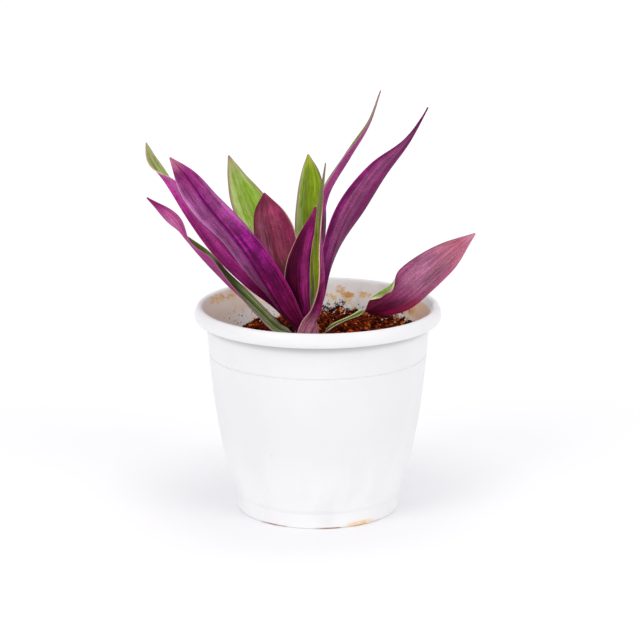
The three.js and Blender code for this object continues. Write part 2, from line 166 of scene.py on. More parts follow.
# azimuth and layer place the sheath on the stem, and wrap is how far it reaches round the stem on
# each side. Each list has one entry for each row, from above the sheath to the tip: the midrib's
# points, where the upper side looks, the half widths, and the fold and curl in degrees.
LEAVES = {
    "far_left": {
        "azimuth": 165, "layer": 2, "wrap": 36, "collar": 109,
        "midrib": [(-24, -6, 123.6), (-42.4, -8, 139), (-61, -7, 157.2), (-78, -4, 180.2),
                   (-91, 0, 201), (-101, 2, 216), (-103, 3, 226)],
        "upper_side": [(6, 3, 6), (6, 5, 5), (6, 6, 5), (6, 5, 5), (7, 1, 4), (6, -4, 4),
                       (6, -7, 3)],
        "left": [8, 12, 12, 12, 12, 4.6, 0.4],
        "right": [10, 14, 15, 13, 9, 5, 0.4],
        "fold": [35, 32, 30, 30, 28, 20, 20],
        "curl": [10, 5, 0, 0, 0, 0, 0],
    },
    "front_left": {
        "azimuth": 240, "layer": 2, "wrap": 32, "collar": 110,
        "midrib": [(-21, -19, 127), (-34, -29, 151), (-48, -38, 175), (-64, -47, 197),
                   (-75, -54, 215), (-85, -58, 228)],
        "upper_side": [(2, 9, 4), (1, 9, 4), (1, 9, 4), (-1, 9, 2), (-3, 9, 1), (-3, 9, 1)],
        "left": [11, 12, 10.5, 8.8, 6.2, 0.4],
        "right": [8, 12, 12.5, 11.5, 8, 0.4],
        "fold": [38, 30, 24, 22, 22, 25],
        "curl": [15, 12, 10, 10, 10, 10],
    },
    "low_left": {
        "azimuth": 200, "layer": 3, "wrap": 27, "collar": 106,
        "midrib": [(-26, -14, 114), (-39, -20, 129), (-56, -25, 147), (-69, -28, 162),
                   (-78, -31, 174), (-86, -35, 186), (-100, -40, 201)],
        "upper_side": [(7, -4, 5), (7, -5.6, 5), (7, -1.6, 6), (7, 0, 6), (6, 1, 6), (3, 8, 5),
                       (3, 8, 5)],
        "left": [6, 8, 9, 9, 6, 6, 0.4],
        "right": [6, 5.8, 7.4, 8, 5.5, 4.6, 0.4],
        "fold": [30, 38, 34, 38, 14, 15, 20],
        "curl": [0] * 7,
    },
    "back_left": {
        "azimuth": 116, "layer": 1, "wrap": 32, "collar": 111,
        "midrib": [(-15, 6, 127), (-26, 14, 151), (-37, 20, 171), (-44, 26, 186),
                   (-50, 32, 200), (-55, 38, 212)],
        "upper_side": [(4, -5, 4), (4, -6, 4), *[(3, -7, 4)] * 4],
        "left": [6, 10, 13, 12, 7, 0.4],
        "right": [6, 10, 13.5, 12, 5.4, 0.4],
        "fold": [35, 25, 18, 15, 15, 15],
        "curl": [10, 5, 0, 0, 0, 0],
    },
    "broad": {
        "azimuth": 204, "layer": 0, "wrap": 45, "collar": 113,
        "midrib": [(-14, -5, 126), (-19, -5, 143), (-24, -5, 158), (-27, -6, 173),
                   (-30, -8, 186), (-32, -10, 198)],
        "upper_side": [(1, 9, 2)] * 6,
        "left": [7, 12, 13.6, 13, 9, 0.4],
        "right": [7, 11, 13, 13, 9, 0.4],
        "fold": [30, 20, 15, 15, 15, 15],
        "curl": [20, 10, 5, 5, 5, 5],
    },
    "back_right": {
        "azimuth": 52, "layer": 1, "wrap": 28, "collar": 112,
        "midrib": [(-4, 6, 130), (-6, 12, 150), (-6, 18, 171), (-6, 23, 189), (-5.6, 27, 203),
                   (-6, 31, 214)],
        "upper_side": [(1, -9, 2), *[(3, -8, 2)] * 5],
        "left": [4, 9, 11, 9, 6, 0.4],
        "right": [5, 9, 11, 10.5, 6.8, 0.4],
        "fold": [30, 25, 20, 20, 20, 20],
        "curl": [20, 10, 5, 5, 5, 5],
    },
    "heart": {
        "azimuth": 270, "layer": 1, "wrap": 50, "collar": 112,
        "midrib": [(-8, -12, 124), (-11, -14, 140), (-11, -16, 157), (-9, -17, 170),
                   (-5, -18, 182), (-1.3, -19, 191.5)],
        "upper_side": [(1, 9, 1), (-1, 9, 1), (-1, 9, 1), (0, 9, 1), (1, 9, 1), (2, 9, 1)],
        "left": [5, 8, 8, 7, 5, 0.4],
        "right": [6, 9.5, 7.8, 4.4, 1.8, 0.4],
        "fold": [36, 26, 24, 24, 24, 24],
        "curl": [20, 10, 5, 5, 5, 5],
    },
    "upright": {
        "azimuth": 280, "layer": 5, "wrap": 50, "collar": 108,
        "midrib": [(2, -18, 128), (4, -22, 146), (3, -23, 163), (2, -25, 182), (2.8, -28, 202),
                   (4.6, -31, 220)],
        "upper_side": [(-9, 1, 1), (-9, -2, 1), (-9, -3, 1), (-9, -6, 1), (-9, -8, 1), (-9, -8, 1)],
        "left": [6, 8, 7, 4, 1.8, 0.4],
        "right": [7.5, 7, 6.5, 6, 4, 0.4],
        "fold": [40, 38, 36, 34, 30, 30],
        "curl": [30, 10, 5, 5, 5, 5],
    },
    "tall_narrow": {
        "azimuth": 40, "layer": 0, "wrap": 70, "collar": 112,
        "midrib": [(2, 0, 138), (3, 4, 165), (6.4, 8, 192), (19.6, 13, 215), (31, 17, 234),
                   (38, 20, 255)],
        "upper_side": [(-9, -1, 3), (-9, 0, 3), (-8, 0, 4), (-8, 0, 4), (-8, -1, 4), (-9, -1, 3)],
        "left": [7, 8, 8.8, 7.8, 3.6, 0.4],
        "right": [7, 9, 10.8, 10, 5.4, 0.4],
        "fold": [40, 35, 30, 25, 25, 25],
        "curl": [10, 5, 0, 0, 0, 0],
    },
    "tall_right": {
        "azimuth": 352, "layer": 1, "wrap": 30, "collar": 112,
        "midrib": [(4, -7, 134), (9, -7, 160), (20, -8, 187), (35, -9, 210),
                   (53, -12, 231), (60, -13, 241), (65, -14, 250)],
        "upper_side": [(-7, 6, 3), (-4, 8, 2), *[(-1, 9, 1)] * 5],
        "left": [7, 9, 13, 11, 4.4, 1.4, 0.4],
        "right": [4, 7, 10, 7, 1.2, 0.6, 0.4],
        "fold": [40, 35, 35, 35, 35, 30, 30],
        "curl": [10, 15, 15, 15, 10, 10, 10],
    },
    "low_right": {
        "azimuth": 345, "layer": 6, "wrap": 20, "collar": 107,
        "midrib": [(25, -14, 124), (34, -12, 127.5), (48, -9, 134), (62, -6, 145), (78, -3, 158),
                   (95, 0, 171)],
        "upper_side": [(-4, -2, 6), (-3, 7, 4), *[(-1, 9, 1)] * 4],
        "left": [3.6, 9.6, 12.6, 12.8, 10.4, 0.4],
        "right": [2.5, 9.5, 11.3, 12.2, 8.6, 0.4],
        "fold": [12, 15, 12, 10, 10, 10],
        "curl": [0, 0, 5, 5, 5, 5],
    },
}

# The colours of the leaves
DEEP_PURPLE = (0.085, 0.002, 0.052)
VIVID_PURPLE = (0.290, 0.010, 0.180)
PLUM = (0.240, 0.014, 0.150)
VIOLET = (0.310, 0.016, 0.240)
MAGENTA = (0.430, 0.040, 0.240)
PINK = (0.620, 0.210, 0.450)
RED_MAGENTA = (0.340, 0.010, 0.120)
DARK_MAGENTA = (0.170, 0.006, 0.080)
RUBY = (0.420, 0.008, 0.075)
MAUVE = (0.380, 0.120, 0.220)
GREY_MAUVE = (0.280, 0.100, 0.190)
DUSKY_MAUVE = (0.360, 0.070, 0.130)
DUSKY_PURPLE = (0.230, 0.040, 0.078)
DUSKY_VIOLET = (0.310, 0.088, 0.235)
BROWN_PURPLE = (0.120, 0.010, 0.030)
WINE = (0.085, 0.001, 0.026)
MAROON = (0.040, 0.0005, 0.010)
DARK_BROWN = (0.045, 0.005, 0.003)
PALE_MAUVE = (0.470, 0.210, 0.270)
PALE_VIOLET = (0.540, 0.250, 0.480)
GREY_LILAC = (0.320, 0.150, 0.232)
GREY_ROSE = (0.300, 0.125, 0.160)
LILAC = (0.520, 0.300, 0.500)
ROSE = (0.560, 0.110, 0.170)
PALE_ROSE = (0.620, 0.280, 0.340)
CREAM_PINK = (0.720, 0.450, 0.380)
BEIGE_PINK = (0.330, 0.200, 0.170)
BEIGE_ROSE = (0.460, 0.190, 0.220)
CREAM = (0.620, 0.560, 0.360)
OCHRE = (0.560, 0.420, 0.110)
OLIVE_BROWN = (0.120, 0.062, 0.014)
LEAF_GREEN = (0.100, 0.190, 0.014)
BRIGHT_GREEN = (0.210, 0.350, 0.022)
YELLOW_GREEN = (0.190, 0.260, 0.004)
DARK_GREEN = (0.016, 0.022, 0.001)
MOSS_GREEN = (0.036, 0.068, 0.006)
OLIVE_GREEN = (0.080, 0.080, 0.004)
PALE_GREEN = (0.400, 0.460, 0.180)
GREY_GREEN = (0.240, 0.300, 0.160)
ASH_GREEN = (0.360, 0.370, 0.270)
GREY_OLIVE = (0.190, 0.170, 0.090)
BEIGE_GREEN = (0.420, 0.380, 0.210)
GREY_BEIGE = (0.330, 0.280, 0.200)
SAND = (0.520, 0.400, 0.250)

# The tints of the light that threads, cells and mottles give a blade
THREAD_LIGHT = (1.0, 0.58, 0.92)
CELL_LIGHT = (1.0, 0.72, 0.95)
MOTTLE_LIGHT = (0.92, 0.68, 0.85)
MOTTLE_SHADE = (0.2, 0.1, 0.15)
GREEN_THREAD_LIGHT = (0.85, 1.0, 0.7)
GREEN_MOTTLE_LIGHT = (0.80, 0.80, 0.62)
GREEN_MOTTLE_SHADE = (0.25, 0.30, 0.05)

# The colours of the stem, the soil and the marks on the pot
STEM_PINK = (0.24, 0.10, 0.13)
STEM_TAN = (0.36, 0.24, 0.16)
COIR_DARK = (0.020, 0.002, 0.001)
COIR_BROWN = (0.12, 0.012, 0.002)
COIR_RUST = (0.34, 0.085, 0.014)
CRUMB_SHADE = (0.02, 0.005, 0.002)
FOOT_BROWN = (0.40, 0.15, 0.045)
FOOT_OCHRE = (0.86, 0.58, 0.26)
WALL_CLOUD = (0.95, 0.90, 0.88)
WALL_WHITE = (0.96, 0.95, 0.94)
WATER_TINT = (0.95, 0.81, 0.71)
WATER_BROWN = (0.74, 0.53, 0.41)
RUN_BROWN = (0.66, 0.52, 0.45)
STAIN_SAND = (0.86, 0.58, 0.32)
STAIN_HEART = (0.60, 0.27, 0.09)
PALE_RUST = (0.88, 0.62, 0.30)
DARK_RUST = (0.62, 0.27, 0.08)
CHALK = (0.93, 0.90, 0.90)
SOIL_SPECK = (0.10, 0.05, 0.03)
FLOOR_GRAIN = (0.85, 0.85, 0.87)

# The colours of the loose grains: each grain has a place from 0 to 1, between stops of (place, colour)
COIR_GRAINS = ((0.0, (0.010, 0.001, 0.001)), (0.4, (0.050, 0.004, 0.001)), (0.68, (0.20, 0.018, 0.002)),
               (0.90, (0.46, 0.064, 0.006)), (1.0, (0.78, 0.28, 0.05)))
DARK_GRAINS = ((0.0, (0.016, 0.005, 0.003)), (0.5, (0.13, 0.035, 0.010)), (1.0, (0.30, 0.10, 0.03)))
PALE_GRAINS = ((0.0, (0.55, 0.46, 0.38)), (1.0, (0.80, 0.76, 0.72)))

# under and upper: the bright and the deep tone of each side, margin: the left and the right edge
# and their width, upper_margin: the same where the upper side's edges differ, midrib: how dark the
# painted shade along the midrib's crease is, margin_end: where a margin stops short of the tip,
# streaks: the share of pale threads, under_patches and upper_patches: soft-edged areas of another
# tone, some of them the leaf's own colour, some painted highlights and some painted shade, each as
# (tone, strength, (from, to) across, (from, to) along, length of its fade along). Places run from 0
# to 1, so -1 and 2 lie past the edges, and every patch fades across over PATCH_FADE.
WIDE = (-1, 2)
PATCH_FADE = 0.07
LOOKS = {
    "far_left": {
        "under": (MAGENTA, VIVID_PURPLE), "upper": (PALE_GREEN, LEAF_GREEN),
        "margin": (CREAM_PINK, MAGENTA, 0.03), "midrib": 0.3,
        # The lilac patch is a painted highlight; the dark magenta and wine patches towards the base and
        # down the right side are painted shade.
        "under_patches": [(LILAC, 0.2, (0.1, 0.3), (0.5, 0.8), 0.08),
                          (DARK_MAGENTA, 0.6, WIDE, (-1, 0.64), 0.06),
                          (DARK_MAGENTA, 0.6, (0.75, 2), (0.3, 0.70), 0.06),
                          (RED_MAGENTA, 0.5, (0.55, 0.86), (0.42, 0.60), 0.05),
                          (WINE, 0.9, WIDE, (-1, 0.38), 0.06),
                          (WINE, 0.9, (0.86, 2), (0.28, 0.66), 0.05)],
        "upper_patches": [(BEIGE_GREEN, 0.75, WIDE, (0.84, 2), 0.06),
                          (PALE_GREEN, 0.6, WIDE, (0.5, 0.8), 0.06)],
    },
    "front_left": {
        "under": (VIOLET, DEEP_PURPLE), "upper": (PALE_GREEN, LEAF_GREEN),
        # The lilac right margin is the pale margin with a painted highlight on it.
        "margin": (VIOLET, LILAC, 0.045), "midrib": 0.85,
        # The dusky violet and pale violet patches are painted sheen; the dark magenta and wine patches
        # towards the base are painted shade.
        "under_patches": [(DUSKY_VIOLET, 0.75, (0.56, 2), (0.32, 0.88), 0.08),
                          (DUSKY_VIOLET, 0.5, (-1, 0.40), (0.62, 0.9), 0.06),
                          (PALE_VIOLET, 0.85, (0.90, 2), (0.36, 0.88), 0.05),
                          (PALE_VIOLET, 0.6, (-1, 0.08), (0.58, 0.82), 0.05),
                          (DARK_MAGENTA, 0.5, WIDE, (0.79, 2), 0.05),
                          (BEIGE_ROSE, 0.75, WIDE, (0.93, 2), 0.05),
                          (DARK_MAGENTA, 0.85, (-1, 0.62), (-1, 0.45), 0.1),
                          (WINE, 0.7, (-1, 0.7), (-1, 0.36), 0.09),
                          (WINE, 0.88, WIDE, (-1, 0.29), 0.07),
                          (RUBY, 0.8, (-1, 0.03), (0.12, 0.48), 0.08)],
    },
    "low_left": {
        "under": (MAGENTA, VIVID_PURPLE), "upper": (ASH_GREEN, MOSS_GREEN),
        "margin": (MAUVE, BEIGE_PINK, 0.035), "midrib": 0.3,
        "under_patches": [(DUSKY_VIOLET, 0.6, WIDE, (-1, 0.62), 0.08),
                          # Painted shade: dark magenta towards the base.
                          (DARK_MAGENTA, 0.6, WIDE, (-1, 0.69), 0.05),
                          (PALE_MAUVE, 0.5, WIDE, (0.80, 0.93), 0.05),
                          (DARK_MAGENTA, 0.5, (-1, 0.25), (0.72, 2), 0.05),
                          (BROWN_PURPLE, 0.7, WIDE, (0.95, 2), 0.04)],
        # Painted shade in the fold: very dark green, easing to olive further along.
        "upper_patches": [(DARK_GREEN, 0.95, WIDE, (0.44, 0.60), 0.05),
                          (OLIVE_GREEN, 0.9, WIDE, (0.61, 0.8), 0.04)],
    },
    "back_left": {
        "under": (MAUVE, BROWN_PURPLE), "upper": (PALE_GREEN, BRIGHT_GREEN),
        "margin": (BEIGE_PINK, BEIGE_PINK, 0.08), "midrib": 0.1,
        # Painted shade: wine towards the base.
        "under_patches": [(WINE, 0.85, WIDE, (-1, 0.3), 0.1)],
        "upper_patches": [(PALE_GREEN, 0.5, (-1, 0.5), (-1, 0.5), 0.1),
                          (BRIGHT_GREEN, 0.7, (0.40, 0.92), (0.45, 0.80), 0.08),
                          (GREY_BEIGE, 0.75, (-1, 0.05), (0.4, 2), 0.1),
                          (BEIGE_GREEN, 0.75, WIDE, (0.88, 2), 0.06),
                          (GREY_MAUVE, 0.6, WIDE, (0.96, 2), 0.03)],
    },
    "broad": {
        "under": (DUSKY_MAUVE, DUSKY_PURPLE), "upper": (PALE_GREEN, LEAF_GREEN),
        "margin": (SAND, WINE, 0.04), "midrib": 0.35, "streaks": 0.5,
        "under_patches": [(MAUVE, 0.6, (0.60, 0.9), (0.52, 0.80), 0.06),
                          (BROWN_PURPLE, 0.4, (-1, 0.24), (0.5, 0.95), 0.1),
                          (RED_MAGENTA, 0.3, (-1, 0.3), (0.62, 0.95), 0.06),
                          (BROWN_PURPLE, 0.5, WIDE, (0.90, 2), 0.05),
                          (OLIVE_BROWN, 0.7, (-1, 0.45), (0.40, 0.56), 0.06),
                          # Painted shadow: dark brown towards the base, where the heart's edge shades it.
                          (DARK_BROWN, 0.92, WIDE, (-1, 0.44), 0.07)],
    },
    "back_right": {
        "under": (MAUVE, BROWN_PURPLE), "upper": (BRIGHT_GREEN, YELLOW_GREEN),
        "margin": (BEIGE_PINK, GREY_MAUVE, 0.07), "midrib": 0.1,
        # Painted shade: wine towards the base.
        "under_patches": [(WINE, 0.85, WIDE, (-1, 0.3), 0.1)],
        "upper_patches": [(PALE_GREEN, 0.9, (-1, 0.15), (0.2, 0.92), 0.1),
                          (PALE_GREEN, 0.8, (-1, 0.28), (0.2, 0.66), 0.08),
                          (GREY_GREEN, 0.35, (0.28, 0.48), (0.66, 0.88), 0.08),
                          (OCHRE, 0.7, (0.2, 0.8), (0.91, 2), 0.04),
                          (YELLOW_GREEN, 0.7, (0.34, 0.92), (0.4, 0.95), 0.06)],
    },
    "heart": {
        "under": (VIVID_PURPLE, WINE), "upper": (PALE_GREEN, LEAF_GREEN),
        "margin": (CREAM_PINK, CREAM_PINK, 0.04), "midrib": 0.6,
        # The maroon patches and the dark magenta towards the base are painted shade.
        "under_patches": [(MAROON, 0.95, (0.52, 2), (0.3, 0.84), 0.12),
                          (MAROON, 0.6, (-1, 0.1), (0.25, 0.7), 0.08),
                          (MAGENTA, 0.8, (0.16, 0.42), (0.36, 0.8), 0.1),
                          (DUSKY_PURPLE, 0.6, WIDE, (0.88, 2), 0.06),
                          (DARK_MAGENTA, 0.6, WIDE, (-1, 0.28), 0.08)],
    },
    "upright": {
        "under": (MAGENTA, WINE), "upper": (YELLOW_GREEN, OLIVE_GREEN),
        "margin": (BEIGE_PINK, CREAM_PINK, 0.06), "margin_end": 0.72, "midrib": 0.1,
        "under_patches": [(PALE_MAUVE, 0.95, WIDE, (-1, 0.25), 0.05),
                          (PALE_ROSE, 0.8, (0.3, 0.65), (-1, 0.22), 0.05),
                          (GREY_MAUVE, 0.8, WIDE, (0.80, 2), 0.06)],
        "upper_patches": [(YELLOW_GREEN, 0.85, WIDE, (-1, 0.60), 0.06),
                          (GREY_OLIVE, 0.85, WIDE, (0.72, 2), 0.08)],
    },
    "tall_narrow": {
        "under": (MAGENTA, VIVID_PURPLE), "upper": (GREY_GREEN, OLIVE_GREEN),
        "margin": (MAUVE, BEIGE_PINK, 0.05), "midrib": 0.3,
        "under_patches": [(GREY_MAUVE, 0.4, (-1, 0.25), (0.45, 0.85), 0.08),
                          # Painted shade: dark brown towards the base.
                          (DARK_BROWN, 0.9, WIDE, (-1, 0.50), 0.05),
                          (GREY_OLIVE, 0.85, WIDE, (0.84, 2), 0.06)],
    },
    "tall_right": {
        "under": (PLUM, DEEP_PURPLE), "upper": (PALE_GREEN, LEAF_GREEN),
        "margin": (DARK_MAGENTA, PINK, 0.03), "midrib": 0.4, "streaks": 0.1,
        # The grey mauve band is a painted sheen.
        "under_patches": [(GREY_MAUVE, 0.5, (0.34, 0.80), (0.36, 0.80), 0.07),
                          (DARK_MAGENTA, 0.7, (-1, 0.26), (0.3, 0.86), 0.07),
                          (BROWN_PURPLE, 0.7, WIDE, (0.9, 2), 0.05)],
    },
    "low_right": {
        "under": (MAUVE, DUSKY_MAUVE), "upper": (PALE_GREEN, LEAF_GREEN),
        "margin": (ROSE, BROWN_PURPLE, 0.03), "upper_margin": (CREAM, CREAM, 0.06), "midrib": 0.25,
        "streaks": 0.25,
        # The grey lilac band is a painted sheen, and the dark magenta and wine patches towards the base are
        # painted shade.
        "under_patches": [(GREY_LILAC, 0.85, WIDE, (0.52, 0.84), 0.07),
                          (BEIGE_ROSE, 0.65, WIDE, (0.84, 0.94), 0.04),
                          (GREY_ROSE, 0.6, (0.15, 0.6), (0.76, 0.88), 0.04),
                          (RED_MAGENTA, 0.3, (-1, 0.16), (0.6, 0.85), 0.08),
                          (DARK_MAGENTA, 0.75, WIDE, (-1, 0.64), 0.07),
                          (DARK_MAGENTA, 0.5, (0.82, 2), (0.5, 0.76), 0.06),
                          (WINE, 0.92, WIDE, (-1, 0.55), 0.06),
                          (RUBY, 0.6, (-1, 0.22), (0.47, 0.64), 0.05),
                          (CREAM_PINK, 0.7, (-1, -0.03), (0.33, 0.52), 0.05),
                          (PALE_ROSE, 0.85, WIDE, (0.95, 2), 0.03)],
        "upper_patches": [(LEAF_GREEN, 0.7, (0.60, 0.94), (0.36, 0.72), 0.05),
                          (MOSS_GREEN, 0.9, (0.22, 0.78), (-1, 0.36), 0.05),
                          (CREAM, 0.6, (-1, 0.12), (-1, 0.36), 0.05),
                          (CREAM, 0.6, (0.88, 2), (-1, 0.36), 0.05)],
    },
}

# The stage, in metres: what the softboxes and the spot shine on, and where the camera stands. Its
# tilt is in degrees, up from looking straight down.
PLANT_MIDDLE = (0, 0, 0.12)
SOIL_MIDDLE = (0, 0.005, 0.115)
CAMERA_PLACE = (0.00127, -1.4, 0.4713)
CAMERA_TILT = 75.8

# Where the right half of the low right leaf rolls over and shows its upper side: the middle and the
# half length of the roll along the blade, and its reach across from the margin
ROLLS = {"low_right": (0.52, 0.15, 0.34)}
ROLL_TURN = math.radians(170)


# Selecting and finishing

def pick(obj):
    """Makes obj the one selected and active object."""
    bpy.ops.object.select_all(action="DESELECT")
    obj.select_set(True)
    bpy.context.view_layer.objects.active = obj


def name_active(name):
    """Names the object that was just added, and its mesh."""
    obj = bpy.context.active_object
    obj.name = name
    obj.data.name = name
    return obj


def apply_modifier(obj, name, kind, **settings):
    """Adds a modifier with these settings and applies it."""
    modifier = obj.modifiers.new(name, kind)
    for key, value in settings.items():
        setattr(modifier, key, value)
    pick(obj)
    bpy.ops.object.modifier_apply(modifier=name)


def cut_away(obj, name, cutter):
    """Cuts the cutter's body out of obj and deletes the cutter."""
    apply_modifier(obj, name, "BOOLEAN", operation="DIFFERENCE", object=cutter, solver="EXACT")
    bpy.data.objects.remove(cutter)


def smooth(obj, degrees):
    """Shades obj smooth but for the edges sharper than this."""
    pick(obj)
    bpy.ops.object.shade_smooth_by_angle(angle=math.radians(degrees))


def settle(obj, materials, slot, *nodes):
    """Gives a piece its materials and its body, and hides the nodes that it stands for. Its slot is not
    used.
    """
    for material in materials:
        obj.data.materials.append(material)
    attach(obj, BODY)
    if nodes:
        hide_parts(*nodes)
    return obj


def lathe(name, profile, steps):
    """Spins a profile of (radius, height) in millimetres round Z into a closed body."""
    points = [Vector((radius * MM, 0, height * MM)) for radius, height in profile]
    bpy.ops.object.select_all(action="DESELECT")
    bpy.ops.mesh.primitive_plane_add(size=MM)
    obj = name_active(name)
    bpy.ops.object.mode_set(mode="EDIT")
    bpy.ops.mesh.merge(type="CENTER")
    bpy.ops.transform.translate(value=points[0])
    for here, there in zip(points, points[1:]):
        bpy.ops.mesh.extrude_vertices_move(TRANSFORM_OT_translate={"value": there - here})
    bpy.ops.mesh.select_all(action="SELECT")
    bpy.ops.mesh.spin(steps=steps, angle=math.tau, center=(0, 0, 0), axis=(0, 0, 1))
    bpy.ops.mesh.select_all(action="SELECT")
    bpy.ops.mesh.remove_doubles(threshold=1e-6)
    bpy.ops.mesh.normals_make_consistent(inside=False)
    bpy.ops.object.mode_set(mode="OBJECT")
    return obj


def curve_through(points, steps):
    """A smooth run of (radius, height) through these points, with this many steps in each span."""
    path = np.array(points, float)
    ends = np.vstack([2 * path[0] - path[1], path, 2 * path[-1] - path[-2]])
    run = []
    for a, b, c, d in zip(ends, ends[1:], ends[2:], ends[3:]):
        for step in range(steps):
            t = step / steps
            run.append(0.5 * (2 * b + (c - a) * t + (2 * a - 5 * b + 4 * c - d) * t ** 2
                              + (3 * b - a - 3 * c + d) * t ** 3))
    run.append(path[-1])
    return [tuple(point) for point in run]


# Materials

class Shader:
    """A Principled material under construction."""

    def __init__(self, name):
        self.material = bpy.data.materials.new(name)
        self.material.use_nodes = True
        self.tree = self.material.node_tree
        self.surface = self.tree.nodes["Principled BSDF"]

    def put(self, socket, value):
        """Links a socket to another node's output, or sets its value."""
        if isinstance(value, bpy.types.NodeSocket):
            self.tree.links.new(value, socket)
        elif isinstance(value, tuple) and len(value) == 3 and socket.type == "RGBA":
            socket.default_value = (*value, 1)
        else:
            socket.default_value = value

    def node(self, kind, *values, **settings):
        """Makes a node with these settings and puts the values into its first sockets."""
        made = self.tree.nodes.new(kind)
        for key, value in settings.items():
            setattr(made, key, value)
        for socket, value in zip(made.inputs, values):
            self.put(socket, value)
        return made

    def math(self, operation, *values):
        """The result of a calculation on one or two values."""
        return self.node("ShaderNodeMath", *values, operation=operation).outputs[0]

    def product(self, *factors):
        total = factors[0]
        for factor in factors[1:]:
            total = self.math("MULTIPLY", total, factor)
        return total

    def between(self, value, low, high, to_low=0.0, to_high=1.0):
        """A smooth step of value from low to high."""
        return self.node("ShaderNodeMapRange", value, low, high, to_low, to_high,
                         interpolation_type="SMOOTHSTEP").outputs[0]

    def window(self, value, rise, fall):
        """Fades in while value runs through rise, and out again while it runs through fall."""
        return self.product(self.between(value, *rise), self.between(value, *reversed(fall)))

    def mix(self, factor, first, second, blend="MIX"):
        made = self.node("ShaderNodeMix", factor, data_type="RGBA", blend_type=blend)
        self.put(made.inputs[6], first)
        self.put(made.inputs[7], second)
        return made.outputs[2]

    def coated(self, colour, *coats):
        """Lays coats over a colour, each as (mask, tone), or as (mask, tone, way to blend)."""
        for mask, *coat in coats:
            colour = self.mix(mask, colour, *coat)
        return colour

    def place(self):
        """The point in the plant's own frame, in metres."""
        return self.node("ShaderNodeTexCoord").outputs["Object"]

    def parts(self, vector):
        return tuple(self.node("ShaderNodeSeparateXYZ", vector).outputs)

    def stretched(self, vector, scale, offset=(0.0, 0.0, 0.0)):
        """A place scaled along each axis, and then moved."""
        made = self.node("ShaderNodeMapping", vector, offset)
        self.put(made.inputs["Scale"], scale)
        return made.outputs[0]

    def from_axis(self, x, y):
        """How far the point (x, y) is from the plant's axis."""
        return self.math("SQRT", self.math("ADD", self.product(x, x), self.product(y, y)))

    def from_spot(self, place, spot, flattening):
        """How far place is from a spot in millimetres, with heights counted more by flattening."""
        x, y, z = spot
        centre = (x * MM, y * MM, flattening * z * MM)
        return self.node("ShaderNodeVectorMath", self.stretched(place, (1.0, 1.0, flattening)), centre,
                         operation="DISTANCE").outputs["Value"]

    def noise(self, vector, scale, detail=3.0, roughness=0.5):
        made = self.node("ShaderNodeTexNoise", vector)
        self.put(made.inputs["Scale"], scale)
        self.put(made.inputs["Detail"], detail)
        self.put(made.inputs["Roughness"], roughness)
        return made.outputs["Fac"]

    def bump(self, height, distance, strength=1.0, normal=None):
        """The way that the surface looks with this relief, laid on another relief if one is given."""
        made = self.node("ShaderNodeBump")
        self.put(made.inputs["Height"], height)
        self.put(made.inputs["Distance"], distance)
        self.put(made.inputs["Strength"], strength)
        if normal is not None:
            self.put(made.inputs["Normal"], normal)
        return made.outputs[0]

    def set(self, name, value):
        self.put(self.surface.inputs[name], value)

    def finish(self, colour, roughness, specular, normal=None):
        """Sets what every surface has, and gives back the material."""
        self.set("Base Color", colour)
        self.set("Roughness", roughness)
        self.set("Specular IOR Level", specular)
        if normal is not None:
            self.set("Normal", normal)
        return self.material


def toned(colour, share):
    """A colour at this share of its brightness."""
    return tuple(min(share * part, 1) for part in colour)


def white_plastic(settings):
    """The pot's outside: glossy white plastic, lightly scuffed, with water marks along its foot."""
    shader = Shader("white_plastic")
    place = shader.place()
    x, y, z = shader.parts(place)
    radius = shader.from_axis(x, y)
    clean = tuple(settings.pot_colour)
    scuffs = shader.noise(place, 90.0, 4.0, 0.6)
    clouds = shader.noise(shader.stretched(place, (1.0, 1.0, 0.5)), 38.0, 4.0, 0.6)

    # Painted shade in the corner under the lip
    under_lip_shade = shader.product(shader.window(z, (0.1125, 0.1168), (0.1186, 0.1195)),
                           shader.between(radius, 0.0725, 0.0710))

    # Rust-brown water marks where the foot stood in a wet saucer
    marks = shader.noise(place, 45.0, 3.0)
    foot_ring = shader.product(shader.between(z, 0.0011, 0.0004), shader.between(radius, 0.046, 0.048),
                               shader.between(marks, 0.42, 0.55), shader.between(y, -0.03, -0.042))
    away = shader.from_spot(place, SAUCER_STAIN, SAUCER_FLATTENING)
    stain = shader.product(shader.between(away, 0.013, 0.004),
                           shader.between(shader.noise(place, 130.0, 4.0), 0.28, 0.62), 0.9)
    colour = shader.coated(
        clean,
        # Painted light: the plastic is made lighter towards the foot
        (shader.between(z, 0.065, 0.0), toned(clean, 1.16)),
        (shader.between(clouds, 0.42, 0.70, 0.0, 0.3), toned(clean, 0.95)),
        (shader.between(scuffs, 0.66, 0.74, 0.0, 0.2), toned(clean, 0.8)),
        # Painted shade under the lip
        (under_lip_shade, toned(clean, 0.72)),
        (foot_ring, FOOT_BROWN),
        (stain, FOOT_OCHRE))
    roughness = shader.between(scuffs, 0.3, 0.8, 0.3, 0.5)
    return shader.finish(colour, roughness, 0.45, shader.bump(scuffs, 0.0001, 0.25))


def rust_stained(shader, colour, place, rust):
    """Lays the ragged stains on the inner wall, each with a darker heart."""
    blotches = shader.noise(place, 190.0, 4.0, 0.65)
    for spot, reach, strength in RUST_SPOTS:
        away = shader.from_spot(place, spot, RUST_FLATTENING)
        ragged = shader.math("ADD", away, shader.product(blotches, 3.6 * reach * MM))
        stain = shader.between(ragged, 2.7 * reach * MM, 2.1 * reach * MM, 0.0, strength)
        heart = shader.product(stain, shader.between(rust, 0.48, 0.56), 0.85)
        colour = shader.coated(colour, (stain, STAIN_SAND), (heart, STAIN_HEART))
    return colour


